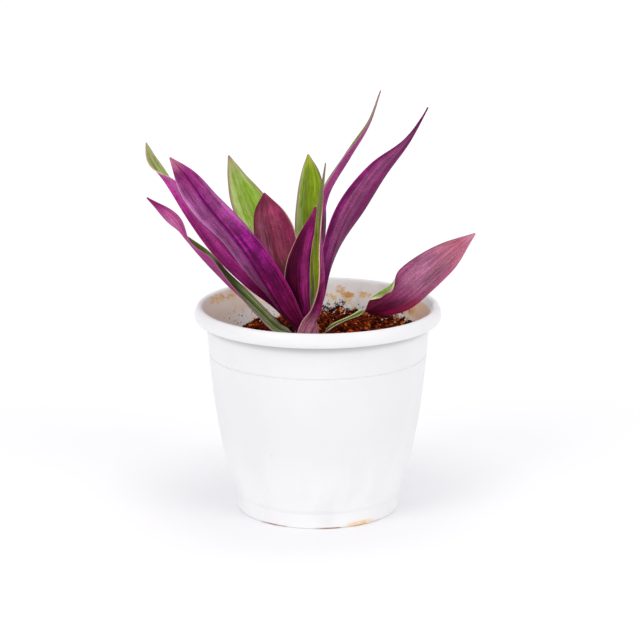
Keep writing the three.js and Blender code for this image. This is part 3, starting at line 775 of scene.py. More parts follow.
def soiled_plastic(settings):
    """The pot's inside: a water tint all round, rusty blotches, and a chalky crust at the back."""
    shader = Shader("soiled_plastic")
    place = shader.place()
    x, y, z = shader.parts(place)
    clouds = shader.noise(place, 26.0, 3.0)
    runs = shader.noise(shader.stretched(place, (1.0, 1.0, 0.25)), 130.0, 3.0)
    left = shader.between(x, 0.0, -0.040)
    right = shader.between(x, 0.034, 0.056)
    back = shader.between(y, 0.015, 0.045)
    colour = shader.coated(
        WALL_CLOUD,
        (shader.between(clouds, 0.35, 0.65), WALL_WHITE),
        (left, WATER_TINT),
        (right, WATER_BROWN),
        (shader.between(runs, 0.45, 0.7, 0.0, 0.25), RUN_BROWN))

    # Rusty stains under the rim, and broken rust in a band above the soil at the back
    rust = shader.noise(shader.stretched(place, (1.0, 1.0, 1.5)), 75.0, 5.0, 0.65)
    colour = rust_stained(shader, colour, place, rust)
    band = shader.product(shader.window(z, (0.1065, 0.110), (0.1145, 0.1195)), back,
                          shader.between(x, -0.01, 0.01))

    # Chalk where the soil's water dried, with dark specks of soil in it
    scale = shader.noise(place, 220.0, 4.0, 0.6)
    chalk = shader.product(shader.between(scale, 0.38, 0.50), shader.between(z, 0.1145, 0.1095), back, 0.9)
    grit = shader.noise(place, 520.0, 4.0, 0.7)
    specks = shader.product(shader.between(grit, 0.60, 0.64), shader.between(z, 0.119, 0.108), back)
    clean_height = shader.math("ADD", z, shader.product(right, 0.0035))
    colour = shader.coated(
        colour,
        (shader.product(band, shader.between(rust, 0.49, 0.56), 0.7), PALE_RUST),
        (shader.product(band, shader.between(rust, 0.57, 0.62)), DARK_RUST),
        (chalk, CHALK),
        (specks, SOIL_SPECK),
        (shader.between(clean_height, 0.1252, 0.1268), tuple(settings.pot_colour)))
    shader.set("Subsurface Weight", 0.5)
    shader.set("Subsurface Radius", (1.0, 0.92, 0.86))
    shader.set("Subsurface Scale", 0.004)
    roughness = shader.between(scale, 0.3, 0.7, 0.45, 0.75)
    return shader.finish(colour, roughness, 0.35, shader.bump(scale, 0.0002, 0.4))


def blade_places(shader):
    """The place on a blade: across from 0 at the left margin to 1 at the right, and along."""
    uv = shader.node("ShaderNodeUVMap", uv_map="UVMap").outputs[0]
    across, along, _ = shader.parts(uv)
    from_midrib = shader.product(shader.math("ABSOLUTE", shader.math("SUBTRACT", across, 0.5)), 2.0)
    return uv, across, along, from_midrib


def fibres(shader, uv, shift, scales, detail, roughness):
    """Noise that is drawn out along a blade, with its scales across and along."""
    return shader.noise(shader.stretched(uv, (*scales, 1.0), shift), 1.0, detail, roughness)


def streaked(shader, lines, cloud):
    """Light and dark on a blade: mostly its lengthwise lines, partly clouds."""
    return shader.math("ADD", shader.product(lines, 0.7), shader.product(cloud, 0.3))


def patched(shader, colour, patches, across, along, breaks):
    """Lays soft-edged patches on a blade, each broken up by the veins."""
    for tone, strength, (left, right), (start, end), fade in patches:
        wide = shader.window(across, (left - PATCH_FADE, left + PATCH_FADE),
                             (right - PATCH_FADE, right + PATCH_FADE))
        long = shader.window(along, (start - fade, start + fade), (end - fade, end + fade))
        colour = shader.mix(shader.product(wide, long, breaks, strength), colour, tone)
    return colour


def edged(shader, colour, across, along, margin, end):
    """Draws the thin pale margins as far as their end."""
    left, right, width = margin
    reach = shader.between(along, end + 0.1, end)
    left_edge = shader.between(across, width, 0.35 * width)
    right_edge = shader.between(across, 1 - width, 1 - 0.35 * width)
    return shader.coated(colour, (shader.product(left_edge, reach), left),
                         (shader.product(right_edge, reach), right))


def blade_underside(name, look, seed):
    """Purple underside: crisp parallel veins, pale threads, stippled cells and broad tones, some of them
    painted shade and painted highlights, and painted shade along the midrib.
    """
    shader = Shader(f"underside_{name}")
    uv, across, along, from_midrib = blade_places(shader)
    bright, deep = look["under"]
    shift = (seed * 1.7, seed * 0.9, seed * 0.3)
    veins = fibres(shader, uv, shift, (25.0, 0.9), 3.0, 0.75)
    threads = fibres(shader, uv, shift, (44.0, 1.6), 2.0, 0.6)
    cells = fibres(shader, uv, shift, (48.0, 230.0), 3.0, 0.6)
    mottles = fibres(shader, uv, shift, (13.0, 9.0), 4.0, 0.65)
    cloud = shader.noise(shader.place(), 75.0, 4.0, 0.65)
    tone = streaked(shader, veins, cloud)
    colour = shader.mix(shader.between(tone, 0.41, 0.60), deep, bright)
    colour = patched(shader, colour, look["under_patches"], across, along,
                     shader.between(tone, 0.38, 0.56, 0.75, 1.0))

    # Dark veins and pale threads come and go along the blade
    dark = shader.product(shader.between(veins, 0.51, 0.57), shader.between(cloud, 0.66, 0.40, 0.3, 1.0),
                          0.65)
    pale = shader.product(shader.between(threads, 0.53, 0.60), shader.between(cloud, 0.42, 0.58, 0.35, 1.0),
                          look.get("streaks", 1.0))
    colour = shader.coated(
        colour,
        (dark, toned(deep, 0.4)),
        (pale, THREAD_LIGHT, "SOFT_LIGHT"),
        (shader.product(pale, 0.05), PINK),
        (shader.between(mottles, 0.50, 0.62, 0.0, 0.7), MOTTLE_LIGHT, "SOFT_LIGHT"),
        (shader.between(mottles, 0.48, 0.36, 0.0, 0.5), MOTTLE_SHADE, "SOFT_LIGHT"),
        (shader.between(cells, 0.54, 0.66, 0.0, 0.9), CELL_LIGHT, "SOFT_LIGHT"),
        (shader.between(cells, 0.46, 0.34, 0.0, 0.45), toned(deep, 0.5)),
        # Painted shade along the midrib's crease
        (shader.between(from_midrib, 0.045, 0.01, 0.0, look["midrib"]), toned(deep, 0.35)))
    colour = edged(shader, colour, across, along, look["margin"], look.get("margin_end", 1))
    roughness = shader.between(veins, 0.2, 0.8, 0.36, 0.55)
    ridges = shader.bump(veins, 0.0003, 0.5)
    return shader.finish(colour, roughness, 0.07, shader.bump(cells, 0.00008, 0.35, ridges))


def blade_upper(name, look, seed):
    """Green upper side with paler lengthwise stripes and a pale margin, with painted shade along the midrib
    and in some patches.
    """
    shader = Shader(f"upper_{name}")
    uv, across, along, from_midrib = blade_places(shader)
    pale, green = look["upper"]
    shift = (seed * 0.8, seed * 1.3, seed * 0.5)
    stripes = fibres(shader, uv, shift, (8.0, 0.5), 2.0, 0.6)
    veins = fibres(shader, uv, shift, (25.0, 1.0), 3.0, 0.7)
    threads = fibres(shader, uv, shift, (46.0, 2.0), 2.0, 0.6)
    cells = fibres(shader, uv, shift, (46.0, 200.0), 3.0, 0.6)
    mottles = fibres(shader, uv, shift, (15.0, 17.0), 4.0, 0.65)
    cloud = shader.noise(shader.place(), 70.0, 4.0, 0.65)
    tone = streaked(shader, stripes, cloud)
    dark = shader.product(shader.between(veins, 0.51, 0.58), shader.between(cloud, 0.62, 0.44, 0.3, 1.0),
                          0.5)
    colour = shader.coated(
        green,
        (shader.between(tone, 0.44, 0.56), pale),
        (shader.between(from_midrib, 0.72, 0.95, 0.0, 0.5), pale),
        (dark, toned(green, 0.5)),
        (shader.between(threads, 0.54, 0.61, 0.0, 0.3), PALE_GREEN))
    colour = patched(shader, colour, look.get("upper_patches", ()), across, along,
                     shader.between(tone, 0.36, 0.54, 0.7, 1.0))
    colour = shader.coated(
        colour,
        (shader.between(threads, 0.53, 0.60, 0.0, 0.6), GREEN_THREAD_LIGHT, "SOFT_LIGHT"),
        (shader.between(mottles, 0.50, 0.38, 0.0, 0.6), GREEN_MOTTLE_SHADE, "SOFT_LIGHT"),
        (shader.between(mottles, 0.52, 0.62, 0.0, 0.4), GREEN_MOTTLE_LIGHT, "SOFT_LIGHT"),
        (shader.between(cells, 0.45, 0.36, 0.0, 0.3), toned(green, 0.5)),
        # Painted shade along the midrib's crease
        (shader.between(from_midrib, 0.06, 0.01, 0.0, look["midrib"]), toned(green, 0.6)))
    margin = look.get("upper_margin", look["margin"])
    colour = edged(shader, colour, across, along, margin, look.get("margin_end", 1))
    roughness = shader.between(veins, 0.2, 0.8, 0.38, 0.55)
    return shader.finish(colour, roughness, 0.1, shader.bump(veins, 0.0003, 0.5))


def blade_margin(name, look):
    """The thin, almost clear edge of a blade."""
    shader = Shader(f"margin_{name}")
    left, right, _ = look["margin"]
    _, across, along, _ = blade_places(shader)
    end = look.get("margin_end", 1)
    fine = shader.noise(shader.place(), 400.0, 2.0)
    colour = shader.coated(
        left,
        (shader.between(across, 0.4, 0.6), right),
        (shader.between(along, end, end + 0.1), GREY_OLIVE),
        (shader.between(fine, 0.4, 0.7, 0.0, 0.4), toned(look["under"][0], 0.8)))
    return shader.finish(colour, 0.45, 0.3)


def stem_skin():
    """The fleshy stem: pinkish, ringed where old leaves sat."""
    shader = Shader("stem_skin")
    rings = shader.noise(shader.stretched(shader.place(), (30.0, 30.0, 420.0)), 1.0, 3.0)
    colour = shader.mix(shader.between(rings, 0.4, 0.65), STEM_PINK, STEM_TAN)
    return shader.finish(colour, 0.5, 0.5, shader.bump(rings, 0.0003, 0.6))


def compost():
    """Moist coir: rusty brown, with dark coir laid in its hollows, partly its own tone and partly painted
    shade.
    """
    shader = Shader("compost")
    place = shader.place()
    coarse = shader.noise(place, 260.0, 5.0, 0.65)
    fine = shader.noise(place, 1100.0, 3.0, 0.6)
    colour = shader.coated(
        COIR_DARK,
        (shader.between(coarse, 0.35, 0.62), COIR_BROWN),
        (shader.between(fine, 0.56, 0.7, 0.0, 0.7), COIR_RUST))
    lumps = shader.bump(coarse, 0.0012, 0.8)
    return shader.finish(colour, 0.95, 0.05, shader.bump(fine, 0.0006, 0.8, lumps))


def grain_skin(name, stops):
    """Loose grains: each has one place on the colour ramp, from its own UV point."""
    shader = Shader(name)
    tone, wet, _ = shader.parts(shader.node("ShaderNodeUVMap", uv_map="UVMap").outputs[0])
    ramp = shader.node("ShaderNodeValToRGB", tone)
    elements = ramp.color_ramp.elements
    while len(elements) < len(stops):
        elements.new(0.5)
    for element, (position, colour) in zip(elements, stops):
        element.position = position
        element.color = (*colour, 1)
    grain = shader.noise(shader.place(), 1500.0, 3.0, 0.6)
    colour = shader.mix(shader.between(grain, 0.4, 0.7, 0.0, 0.6), ramp.outputs[0], CRUMB_SHADE)
    roughness = shader.between(wet, 0.0, 1.0, 0.75, 0.95)
    return shader.finish(colour, roughness, 0.06, shader.bump(grain, 0.0003, 0.7))


def studio_floor(settings):
    """A plain pale sweep with the faintest grain, which glows a little away from the pot."""
    shader = Shader("studio_floor")
    place = shader.place()
    x, y, _ = shader.parts(place)
    away = shader.from_axis(x, y)
    grain = shader.noise(place, 6.0, 2.0)
    near = shader.between(away, 0.07, 0.17, 0.0, settings.near_glow)
    far = shader.between(away, 0.35, 1.6, 0.0, settings.floor_glow)
    shader.set("Emission Color", (1.0, 1.0, 1.0))
    shader.set("Emission Strength", shader.math("ADD", near, far))
    faint = shader.between(grain, 0.3, 0.7, 0.0, 0.02)
    colour = shader.mix(faint, tuple(settings.floor_colour), FLOOR_GRAIN)
    return shader.finish(colour, 0.9, 0.1)


# The pot

def pot_profile():
    """The pot's outline from the axis underneath, round the lip, to the axis inside."""
    underside = [(0, 0), (CENTRE_DISC_RADIUS, 0), (CENTRE_DISC_RADIUS + 1, FOOT_RECESS),
                 (FOOT_RADIUS - 5.5, FOOT_RECESS), (FOOT_RADIUS - 4.6, 0.15), (FOOT_RADIUS - 4.2, 0)]
    foot = [(FOOT_RADIUS - 0.8, 0), (FOOT_RADIUS - 0.3, 0.12), (FOOT_RADIUS, 0.5), (FOOT_RADIUS + 0.1, 1.2),
            (FOOT_RADIUS + 0.2, FOOT_HEIGHT - 0.5), (FOOT_RADIUS + 0.35, FOOT_HEIGHT - 0.15)]
    side = curve_through(SIDE, 6)
    step = [(STEP_RADIUS - 0.25, STEP_HEIGHT - 0.35), (STEP_RADIUS - 0.5, STEP_HEIGHT),
            (STEP_RADIUS - 0.25, STEP_HEIGHT + 0.35)]
    upper = curve_through([(STEP_RADIUS, STEP_HEIGHT + 0.6), (67.1, 107), (68.1, 117.7)], 4)
    lip = curve_through([(68.3, 118.3), (69.1, 119.6), (69.8, 122.6), (71, 124.4), (72.2, 122.8),
                         (72.8, 119.1), (73.7, 118.5), (74.6, 119.8), (LIP_RADIUS, 121.8), (74.3, 124.6),
                         (73.2, 126.5), (71.8, POT_HEIGHT), (70.3, 126.3), *reversed(INNER_RIM[1:])], 4)
    inside = curve_through([INNER_RIM[0], (61.7, 70), (56.7, 40), (53.2, 25), (50, 13)], 4)
    corner = [(49.2, 9), (48.8, 6), (FLOOR_RADIUS, 4.4), (FLOOR_RADIUS - 1.5, FLOOR), (0, FLOOR)]
    return [*underside, *foot, *side, *step, *upper, *lip, *inside, *corner]


def drain_cutter():
    """One body of eight round plugs, for cutting the drain holes."""
    plugs = []
    for hole in range(DRAIN_HOLES):
        angle = math.tau * hole / DRAIN_HOLES
        place = (DRAIN_CIRCLE_RADIUS * MM * math.cos(angle), DRAIN_CIRCLE_RADIUS * MM * math.sin(angle), 0)
        bpy.ops.mesh.primitive_cylinder_add(vertices=32, radius=DRAIN_HOLE_RADIUS * MM,
                                            depth=4 * FLOOR * MM, location=place)
        plugs.append(bpy.context.active_object)
    bpy.ops.object.select_all(action="DESELECT")
    for plug in plugs:
        plug.select_set(True)
    bpy.context.view_layer.objects.active = plugs[0]
    bpy.ops.object.join()
    return name_active("drain_cutter")


def make_pot(settings):
    """The pot, with its stained inner wall in a material of its own."""
    pot = lathe("nursery_pot", pot_profile(), settings.pot_steps)
    cut_away(pot, "Drain holes", drain_cutter())
    smooth(pot, 38)
    settle(pot, [white_plastic(settings), soiled_plastic(settings)], "pot", "pot")
    for face in pot.data.polygons:
        outward = Vector((face.center.x, face.center.y, 0))
        inside = outward.length < INSIDE_RADIUS * MM and outward.dot(face.normal) < 0
        face.material_index = 1 if inside and face.center.z > FLOOR * MM else 0
    return pot


# The leaves

def slope_at(rows, i):
    """How fast a row's numbers change, over the distance between the midrib's points."""
    last = len(rows) - 1

    def step(a, b):
        distance = np.linalg.norm(rows[b][:3] - rows[a][:3])
        return distance, (rows[b] - rows[a]) / distance

    before, rising = step(max(i - 1, 0), max(i, 1))
    after, leaving = step(min(i, last - 1), min(i + 1, last))
    return (rising * after + leaving * before) / (before + after)


def along_rows(rows, place):
    """A smooth run through the rows: a cubic between each two, at this place counted in rows."""
    span = min(int(place), len(rows) - 2)
    share = place - span
    start, end = rows[span], rows[span + 1]
    length = np.linalg.norm(end[:3] - start[:3])
    leave, arrive = slope_at(rows, span) * length, slope_at(rows, span + 1) * length
    rise = end - start
    return start + share * (leave + share * (3 * rise - 2 * leave - arrive
                                             + share * (leave + arrive - 2 * rise)))


def leaf_rows(leaf):
    """Each row: the midrib's point, where its upper side looks, two half widths, fold and curl."""
    radius = FIRST_LAYER + leaf["layer"] * LAYER_STEP
    turn = math.radians(leaf["azimuth"])
    out, side = math.cos(turn), math.sin(turn)
    width = radius * math.radians(leaf["wrap"])
    rows = []
    for height in (SHEATH_BOTTOM, leaf["collar"]):
        rows.append([STEM_X + radius * out, STEM_Y + radius * side, height,
                     -out, -side, 0, width, width, 0, leaf["wrap"]])
    for point, looks, *numbers in zip(leaf["midrib"], leaf["upper_side"], leaf["left"], leaf["right"],
                                      leaf["fold"], leaf["curl"]):
        rows.append([*point, *Vector(looks).normalized(), *numbers])
    return np.array(rows, float)


def folded_out(width, fold, curl, share):
    """Where a half blade has got to, across and up, at this share of the way to its margin."""
    start = math.radians(fold)
    end = start + math.radians(curl) * share
    reach = width * share
    if abs(end - start) < 1e-4:
        return reach * math.cos(start), reach * math.sin(start)
    across = reach * (math.sin(end) - math.sin(start)) / (end - start)
    up = reach * (math.cos(start) - math.cos(end)) / (end - start)
    return across, up


def blade_section(rows, place):
    """The midrib's point, the way to the right, the way the upper side looks, and the numbers."""
    row = along_rows(rows, place)
    before = along_rows(rows, max(place - 0.02, 0))
    after = along_rows(rows, min(place + 0.02, len(rows) - 1))
    tangent = Vector(after[:3] - before[:3]).normalized()
    face = Vector(row[3:6])
    face = (face - tangent * face.dot(tangent)).normalized()
    return Vector(row[:3]), tangent.cross(face), face, row[6:]


def rolled(across, up, share, along, roll):
    """Turns the outer part of the right half over towards the underside."""
    middle, half_length, reach = roll
    strength = 1 - abs(along - middle) / half_length
    if strength <= 0 or share < 1 - reach:
        return across, up
    strength *= strength * (3 - 2 * strength)
    turn = ROLL_TURN * strength * (share - 1 + reach) / reach
    pivot = across * (1 - reach) / share
    reached = across - pivot
    return pivot + reached * math.cos(turn), up - reached * math.sin(turn)


def shape_blade(obj, rows, seed, ripple, roll):
    """Bends a flat grid of unit size into the blade, and gives its margin a slight ripple."""
    sections = {}
    for vertex in obj.data.vertices:
        side, along = 2 * vertex.co.x, vertex.co.y + 0.5
        if along not in sections:
            sections[along] = blade_section(rows, min(max(along, 0), 1) * (len(rows) - 1))
        point, to_right, face, (left, right, fold, curl) = sections[along]
        width = max(left if side < 0 else right, TIP_HALF_WIDTH)
        across, up = folded_out(width, fold, curl, abs(side))
        swell = min(max((along - RIPPLE_START) / RIPPLE_SWELL, 0), 1) * min((1 - along) / RIPPLE_END, 1)
        wave = noise.noise((seed * 7.3 + math.copysign(3.1, side), along * RIPPLE_WAVES, seed))
        up += ripple * swell * side * side * wave
        if roll and side > 0:
            across, up = rolled(across, up, side, along, roll)
        vertex.co = (point + to_right * math.copysign(across, side) + face * up) * MM


def make_leaf(name, seed, settings):
    """One leaf: a flat grid bent into its blade and given its thickness."""
    look = LOOKS[name]
    rows = leaf_rows(LEAVES[name])
    bpy.ops.object.select_all(action="DESELECT")
    bpy.ops.mesh.primitive_grid_add(x_subdivisions=settings.leaf_columns,
                                    y_subdivisions=settings.leaf_stations * (len(rows) - 1), size=1)
    obj = name_active(f"blade_{name}")
    body = obj.vertex_groups.new(name="body")
    for vertex in obj.data.vertices:
        # The blade thins towards its margins
        body.add([vertex.index], 1 - 0.5 * abs(2 * vertex.co.x) ** 3, "REPLACE")
    shape_blade(obj, rows, seed, settings.ripple, ROLLS.get(name))
    settle(obj, [blade_upper(name, look, seed), blade_underside(name, look, seed),
                 blade_margin(name, look)], "leaf", f"leaf_{name}")
    apply_modifier(obj, "Thickness", "SOLIDIFY", thickness=BLADE_THICKNESS * MM, offset=0,
                   use_even_offset=True, vertex_group="body", thickness_vertex_group=0.3,
                   material_offset=1, material_offset_rim=2)
    apply_modifier(obj, "Rounded edges", "SUBSURF", levels=1, render_levels=1)
    smooth(obj, 180)
    return obj


# The soil

def soil_top(x, y):
    """The height of the soil, in millimetres: sunk at the left and dipped round the stem."""
    lumps = 0.9 * math.sin(0.19 * x + 1.3) * math.cos(0.17 * y - 0.4)
    lumps += 0.6 * math.sin(0.43 * x - 0.31 * y + 2.1)
    lumps += 0.4 * math.cos(0.37 * x + 0.52 * y)
    near_stem = math.exp(-(math.hypot(x - STEM_X, y - STEM_Y) / SOIL_DIP_REACH) ** 2)
    sunk = SOIL_SINK * min(max(-x - SOIL_SINK_START, 0) / SOIL_SINK_REACH, 1)
    level = SOIL_LEVEL + SOIL_RISE_X * x + SOIL_RISE_Y * y - sunk
    return level + lumps * (1 - near_stem) - SOIL_DIP * near_stem


def clinging(x, y):
    """How high the compost clings to the wall above its level, in millimetres."""
    rim = max(math.hypot(x, y) / SOIL_RADIUS - CLING_START, 0) / (1 - CLING_START)
    heap = noise.fractal((x * 0.09, y * 0.09, 7.0), 0.9, 2.0, 4)
    return CLING * rim * max(heap + 0.15, 0)


def make_soil(settings):
    """The body of the soil, with its lumpy top and the hole for the stem."""
    underside = [(0, FLOOR + GAP), (FLOOR_RADIUS - GAP, FLOOR + GAP)]
    rings = settings.soil_rings
    top = [(SOIL_RADIUS * (1 - ring / rings), SOIL_LEVEL) for ring in range(rings + 1)]
    soil = lathe("compost", [*underside, *SOIL_SIDES, *top], settings.soil_steps)
    for vertex in soil.data.vertices:
        if vertex.co.z > (SOIL_LEVEL - 1) * MM:
            x, y = vertex.co.x / MM, vertex.co.y / MM
            grain = 0.7 * noise.fractal((x * 0.35, y * 0.35, 4.0), 0.8, 2.0, 4)
            vertex.co.z = (soil_top(x, y) + clinging(x, y) + grain) * MM
    depth = POT_HEIGHT - STEM_BOTTOM
    place = (STEM_X * MM, STEM_Y * MM, (STEM_BOTTOM - GAP + depth / 2) * MM)
    bpy.ops.mesh.primitive_cylinder_add(vertices=40, radius=(STEM_RADIUS + GAP) * MM, depth=depth * MM,
                                        location=place)
    cut_away(soil, "Stem hole", bpy.context.active_object)
    smooth(soil, 60)
    return settle(soil, [compost()], "soil", "soil")


def chunk_forms(kinds, seed):
    """A few rough chunks of 20 faces each, as (corners, faces) of about unit radius."""
    draw = random.Random(seed)
    forms = []
    for _ in range(kinds):
        bpy.ops.object.select_all(action="DESELECT")
        bpy.ops.mesh.primitive_ico_sphere_add(subdivisions=1, radius=1)
        ball = bpy.context.active_object
        corners = np.array([vertex.co[:] for vertex in ball.data.vertices])
        corners *= np.array([[draw.uniform(0.65, 1.25)] for _ in corners])
        forms.append((corners, np.array([face.vertices[:] for face in ball.data.polygons])))
        bpy.data.objects.remove(ball)
    return forms


def strewn(name, forms, places):
    """One mesh of chunks: each place is (point, three sizes, turn, tone, second tone)."""
    corners, faces, tones = [], [], []
    count = 0
    for i, (point, sizes, turn, tone, second) in enumerate(places):
        form, sides = forms[i % len(forms)]
        spin = np.array(turn.to_matrix())
        corners.append((form * np.array(sizes)) @ spin.T + np.array(point))
        faces.append(sides + count)
        tones.append(np.tile((tone, second), (sides.size, 1)))
        count += len(form)
    mesh = bpy.data.meshes.new(name)
    mesh.from_pydata(np.vstack(corners) * MM, [], np.vstack(faces))
    mesh.uv_layers.new(name="UVMap").data.foreach_set("uv", np.vstack(tones).ravel())
    obj = bpy.data.objects.new(name, mesh)
    bpy.context.scene.collection.objects.link(obj)
    return obj


def any_turn(draw):
    """A turn about each axis, drawn at random."""
    return Euler([draw.uniform(0, math.tau) for _ in range(3)])


def leaf_trees():
    """The finished leaves' surfaces, for finding how near they are."""
    return [BVHTree.FromObject(obj, bpy.context.evaluated_depsgraph_get())
            for obj in bpy.data.objects if obj.name.startswith("blade_")]


def clear_of(trees, point, reach):
    """Whether no leaf comes closer to this point than reach, both in millimetres."""
    spot = Vector(point) * MM
    return all(tree.find_nearest(spot, reach * MM)[0] is None for tree in trees)


def make_crumbs(settings):
    """Loose coir on the soil: mostly small, some coarse, and kept clear of the leaves."""
    draw = random.Random(11)
    trees = leaf_trees()
    places = []
    while len(places) < settings.crumbs:
        angle = draw.uniform(0, math.tau)
        radius = (SOIL_RADIUS - 0.6) * math.sqrt(draw.random())
        x, y = radius * math.cos(angle), radius * math.sin(angle)
        if math.hypot(x - STEM_X, y - STEM_Y) < STEM_RADIUS + 1:
            continue
        size = min(CRUMB_SIZE * math.exp(abs(draw.gauss(0, CRUMB_SPREAD))), CRUMB_LARGEST)
        sizes = (size * draw.uniform(0.8, 1.5), size, size * draw.uniform(0.6, 1.0))
        point = (x, y, soil_top(x, y) + clinging(x, y) + draw.uniform(0.0, 0.7) * size)
        if clear_of(trees, point, 1.3 * size):
            places.append((point, sizes, any_turn(draw), draw.random(), draw.random()))
    crumbs = strewn("coir_crumbs", chunk_forms(12, 3), places)
    return settle(crumbs, [grain_skin("coir", COIR_GRAINS)], "soil")


def inner_radius(height):
    """The radius of the pot's inner wall above the soil, in millimetres."""
    radii, heights = zip(*INNER_RIM)
    return float(np.interp(height, heights, radii))


def make_wall_crumbs(settings):
    """Crumbs that watering has left stuck to the inner wall, in clumps and mostly at the back."""
    draw = random.Random(29)
    places = []
    while len(places) < settings.wall_crumbs:
        angle = draw.gauss(1.15, 0.55) if draw.random() < 0.88 else draw.uniform(0, math.tau)
        foot = soil_top(SOIL_RADIUS * math.cos(angle), SOIL_RADIUS * math.sin(angle))
        height = foot + abs(draw.gauss(0, 3.4))
        for _ in range(int(1 + draw.expovariate(0.22))):
            turned = angle + draw.gauss(0, 1.2) / SOIL_RADIUS
            rise = min(height + draw.gauss(0, 0.8), 120)
            size = draw.uniform(0.25, 0.6)
            radius = inner_radius(rise) - 0.3 * size
            point = (radius * math.cos(turned), radius * math.sin(turned), rise)
            places.append((point, (size, size * draw.uniform(0.6, 1.6), size * 0.8), any_turn(draw),
                           0.5 * draw.random(), draw.random()))
    crumbs = strewn("wall_crumbs", chunk_forms(6, 5), places)
    return settle(crumbs, [grain_skin("dark_coir", DARK_GRAINS)], "soil")


def make_perlite(settings):
    """Whitish grains among the coir and along the back of the wall."""
    draw = random.Random(47)
    trees = leaf_trees()
    places = []
    while len(places) < settings.perlite:
        angle = draw.gauss(1.35, 0.9)
        radius = SOIL_RADIUS - 0.8 - abs(draw.gauss(0, 6))
        x, y = radius * math.cos(angle), radius * math.sin(angle)
        size = draw.uniform(0.35, 0.95)
        point = (x, y, soil_top(x, y) + 0.6 + 0.4 * size)
        if clear_of(trees, point, 1.3 * size):
            sizes = (size, size * draw.uniform(0.7, 1.2), 0.8 * size)
            places.append((point, sizes, any_turn(draw), draw.random(), draw.random()))
    grains = strewn("perlite", chunk_forms(6, 9), places)
    return settle(grains, [grain_skin("perlite", PALE_GRAINS)], "soil")


# The stage

def aimed_lamp(kind, name, place, target, power):
    """A lamp of this kind that shines from place towards target."""
    bpy.ops.object.light_add(type=kind, location=place)
    lamp = name_active(name)
    lamp.data.energy = power
    lamp.rotation_euler = (Vector(target) - Vector(place)).to_track_quat("-Z", "Y").to_euler()
    return lamp


def light_stage(settings):
    """Three softboxes, and a narrow soft spot which brightens the inside of the pot."""
    for name, place, size, power in (
            ("left_softbox", (-1.25, -1.25, 1.25), 1.1, settings.left_power),
            ("right_softbox", (1.30, -1.15, 1.15), 1.1, settings.right_power),
            ("top_softbox", (0.10, 0.35, 1.70), 1.3, settings.top_power)):
        lamp = aimed_lamp("AREA", name, place, PLANT_MIDDLE, power)
        lamp.data.shape = "SQUARE"
        lamp.data.size = size
        lamp.data.color = settings.lamp_colour
    spot = aimed_lamp("SPOT", "rim_spot", (-0.05, -0.35, 1.45), SOIL_MIDDLE, settings.spot_power)
    spot.data.spot_size = math.radians(5.5)
    spot.data.spot_blend = 1.0
    spot.data.shadow_soft_size = 0.018


def make_stage(settings):
    """The floor, the surroundings, the lamps and the camera."""
    scene = bpy.context.scene
    bpy.ops.object.select_all(action="DESELECT")
    bpy.ops.mesh.primitive_circle_add(vertices=96, radius=settings.floor_radius, fill_type="NGON")
    floor = name_active("studio_floor")
    floor.data.materials.append(studio_floor(settings))

    world = bpy.data.worlds.new("studio")
    world.use_nodes = True
    background = world.node_tree.nodes["Background"]
    background.inputs["Color"].default_value = (*settings.sky_colour, 1)
    background.inputs["Strength"].default_value = settings.sky_strength
    scene.world = world
    light_stage(settings)

    bpy.ops.object.camera_add(location=CAMERA_PLACE, rotation=(math.radians(CAMERA_TILT), 0, 0))
    camera = name_active("front_camera")
    camera.data.sensor_width = 36
    camera.data.lens = settings.lens
    scene.camera = camera
    scene.view_settings.view_transform = "Standard"


# Settings

class PotSettings(bpy.types.PropertyGroup):
    pot_steps: IntProperty(name="Steps", description="Steps in the pot's turn", default=192, min=48)
    pot_colour: FloatVectorProperty(name="Plastic", description="Colour of the clean plastic",
                                    subtype="COLOR", size=3, default=(0.79, 0.79, 0.795), min=0, max=1)


class LeafSettings(bpy.types.PropertyGroup):
    leaf_columns: IntProperty(name="Columns", description="Faces across a blade", default=22, min=6)
    leaf_stations: IntProperty(name="Stations", description="Faces along each span of a blade",
                               default=12, min=3)
    ripple: FloatProperty(name="Ripple", description="How far a margin waves, in millimetres",
                          default=0.8, min=0)


class SoilSettings(bpy.types.PropertyGroup):
    soil_rings: IntProperty(name="Rings", description="Rings across the soil", default=70, min=9)
    soil_steps: IntProperty(name="Steps", description="Steps round the soil", default=160, min=40)
    crumbs: IntProperty(name="Crumbs", description="Loose crumbs on the soil", default=9500, min=0)
    wall_crumbs: IntProperty(name="Wall crumbs", description="Crumbs stuck to the wall", default=240,
                             min=0)
    perlite: IntProperty(name="Perlite", description="Pale grains in the soil", default=130, min=0)


class StageSettings(bpy.types.PropertyGroup):
    floor_radius: FloatProperty(name="Floor", description="Radius of the floor", unit="LENGTH", default=8.0)
    floor_colour: FloatVectorProperty(name="Floor colour", description="Colour of the floor",
                                      subtype="COLOR", size=3, default=(0.91, 0.91, 0.92), min=0, max=1)
    near_glow: FloatProperty(name="Near glow", description="Light that the floor gives near the pot",
                             default=0.085)
    floor_glow: FloatProperty(name="Floor glow", description="Light that the far floor adds", default=0.24)
    lens: FloatProperty(name="Lens", description="Focal length", unit="CAMERA", default=133.4)
    sky_strength: FloatProperty(name="Sky", description="Strength of the surroundings", default=0.76)
    sky_colour: FloatVectorProperty(name="Sky colour", description="Colour of the surroundings",
                                    subtype="COLOR", size=3, default=(0.975, 0.965, 1.0), min=0, max=1)
    lamp_colour: FloatVectorProperty(name="Lamp colour", description="Colour of the softboxes",
                                     subtype="COLOR", size=3, default=(1.0, 0.985, 0.955), min=0, max=1)
    left_power: FloatProperty(name="Left", description="Power of the left softbox", unit="POWER",
                              default=11.5)
    right_power: FloatProperty(name="Right", description="Power of the right softbox", unit="POWER",
                               default=9.0)
    top_power: FloatProperty(name="Top", description="Power of the top softbox", unit="POWER", default=4.0)
    spot_power: FloatProperty(name="Spot", description="Power of the spot on the soil", unit="POWER",
                              default=35.0)


# Operators

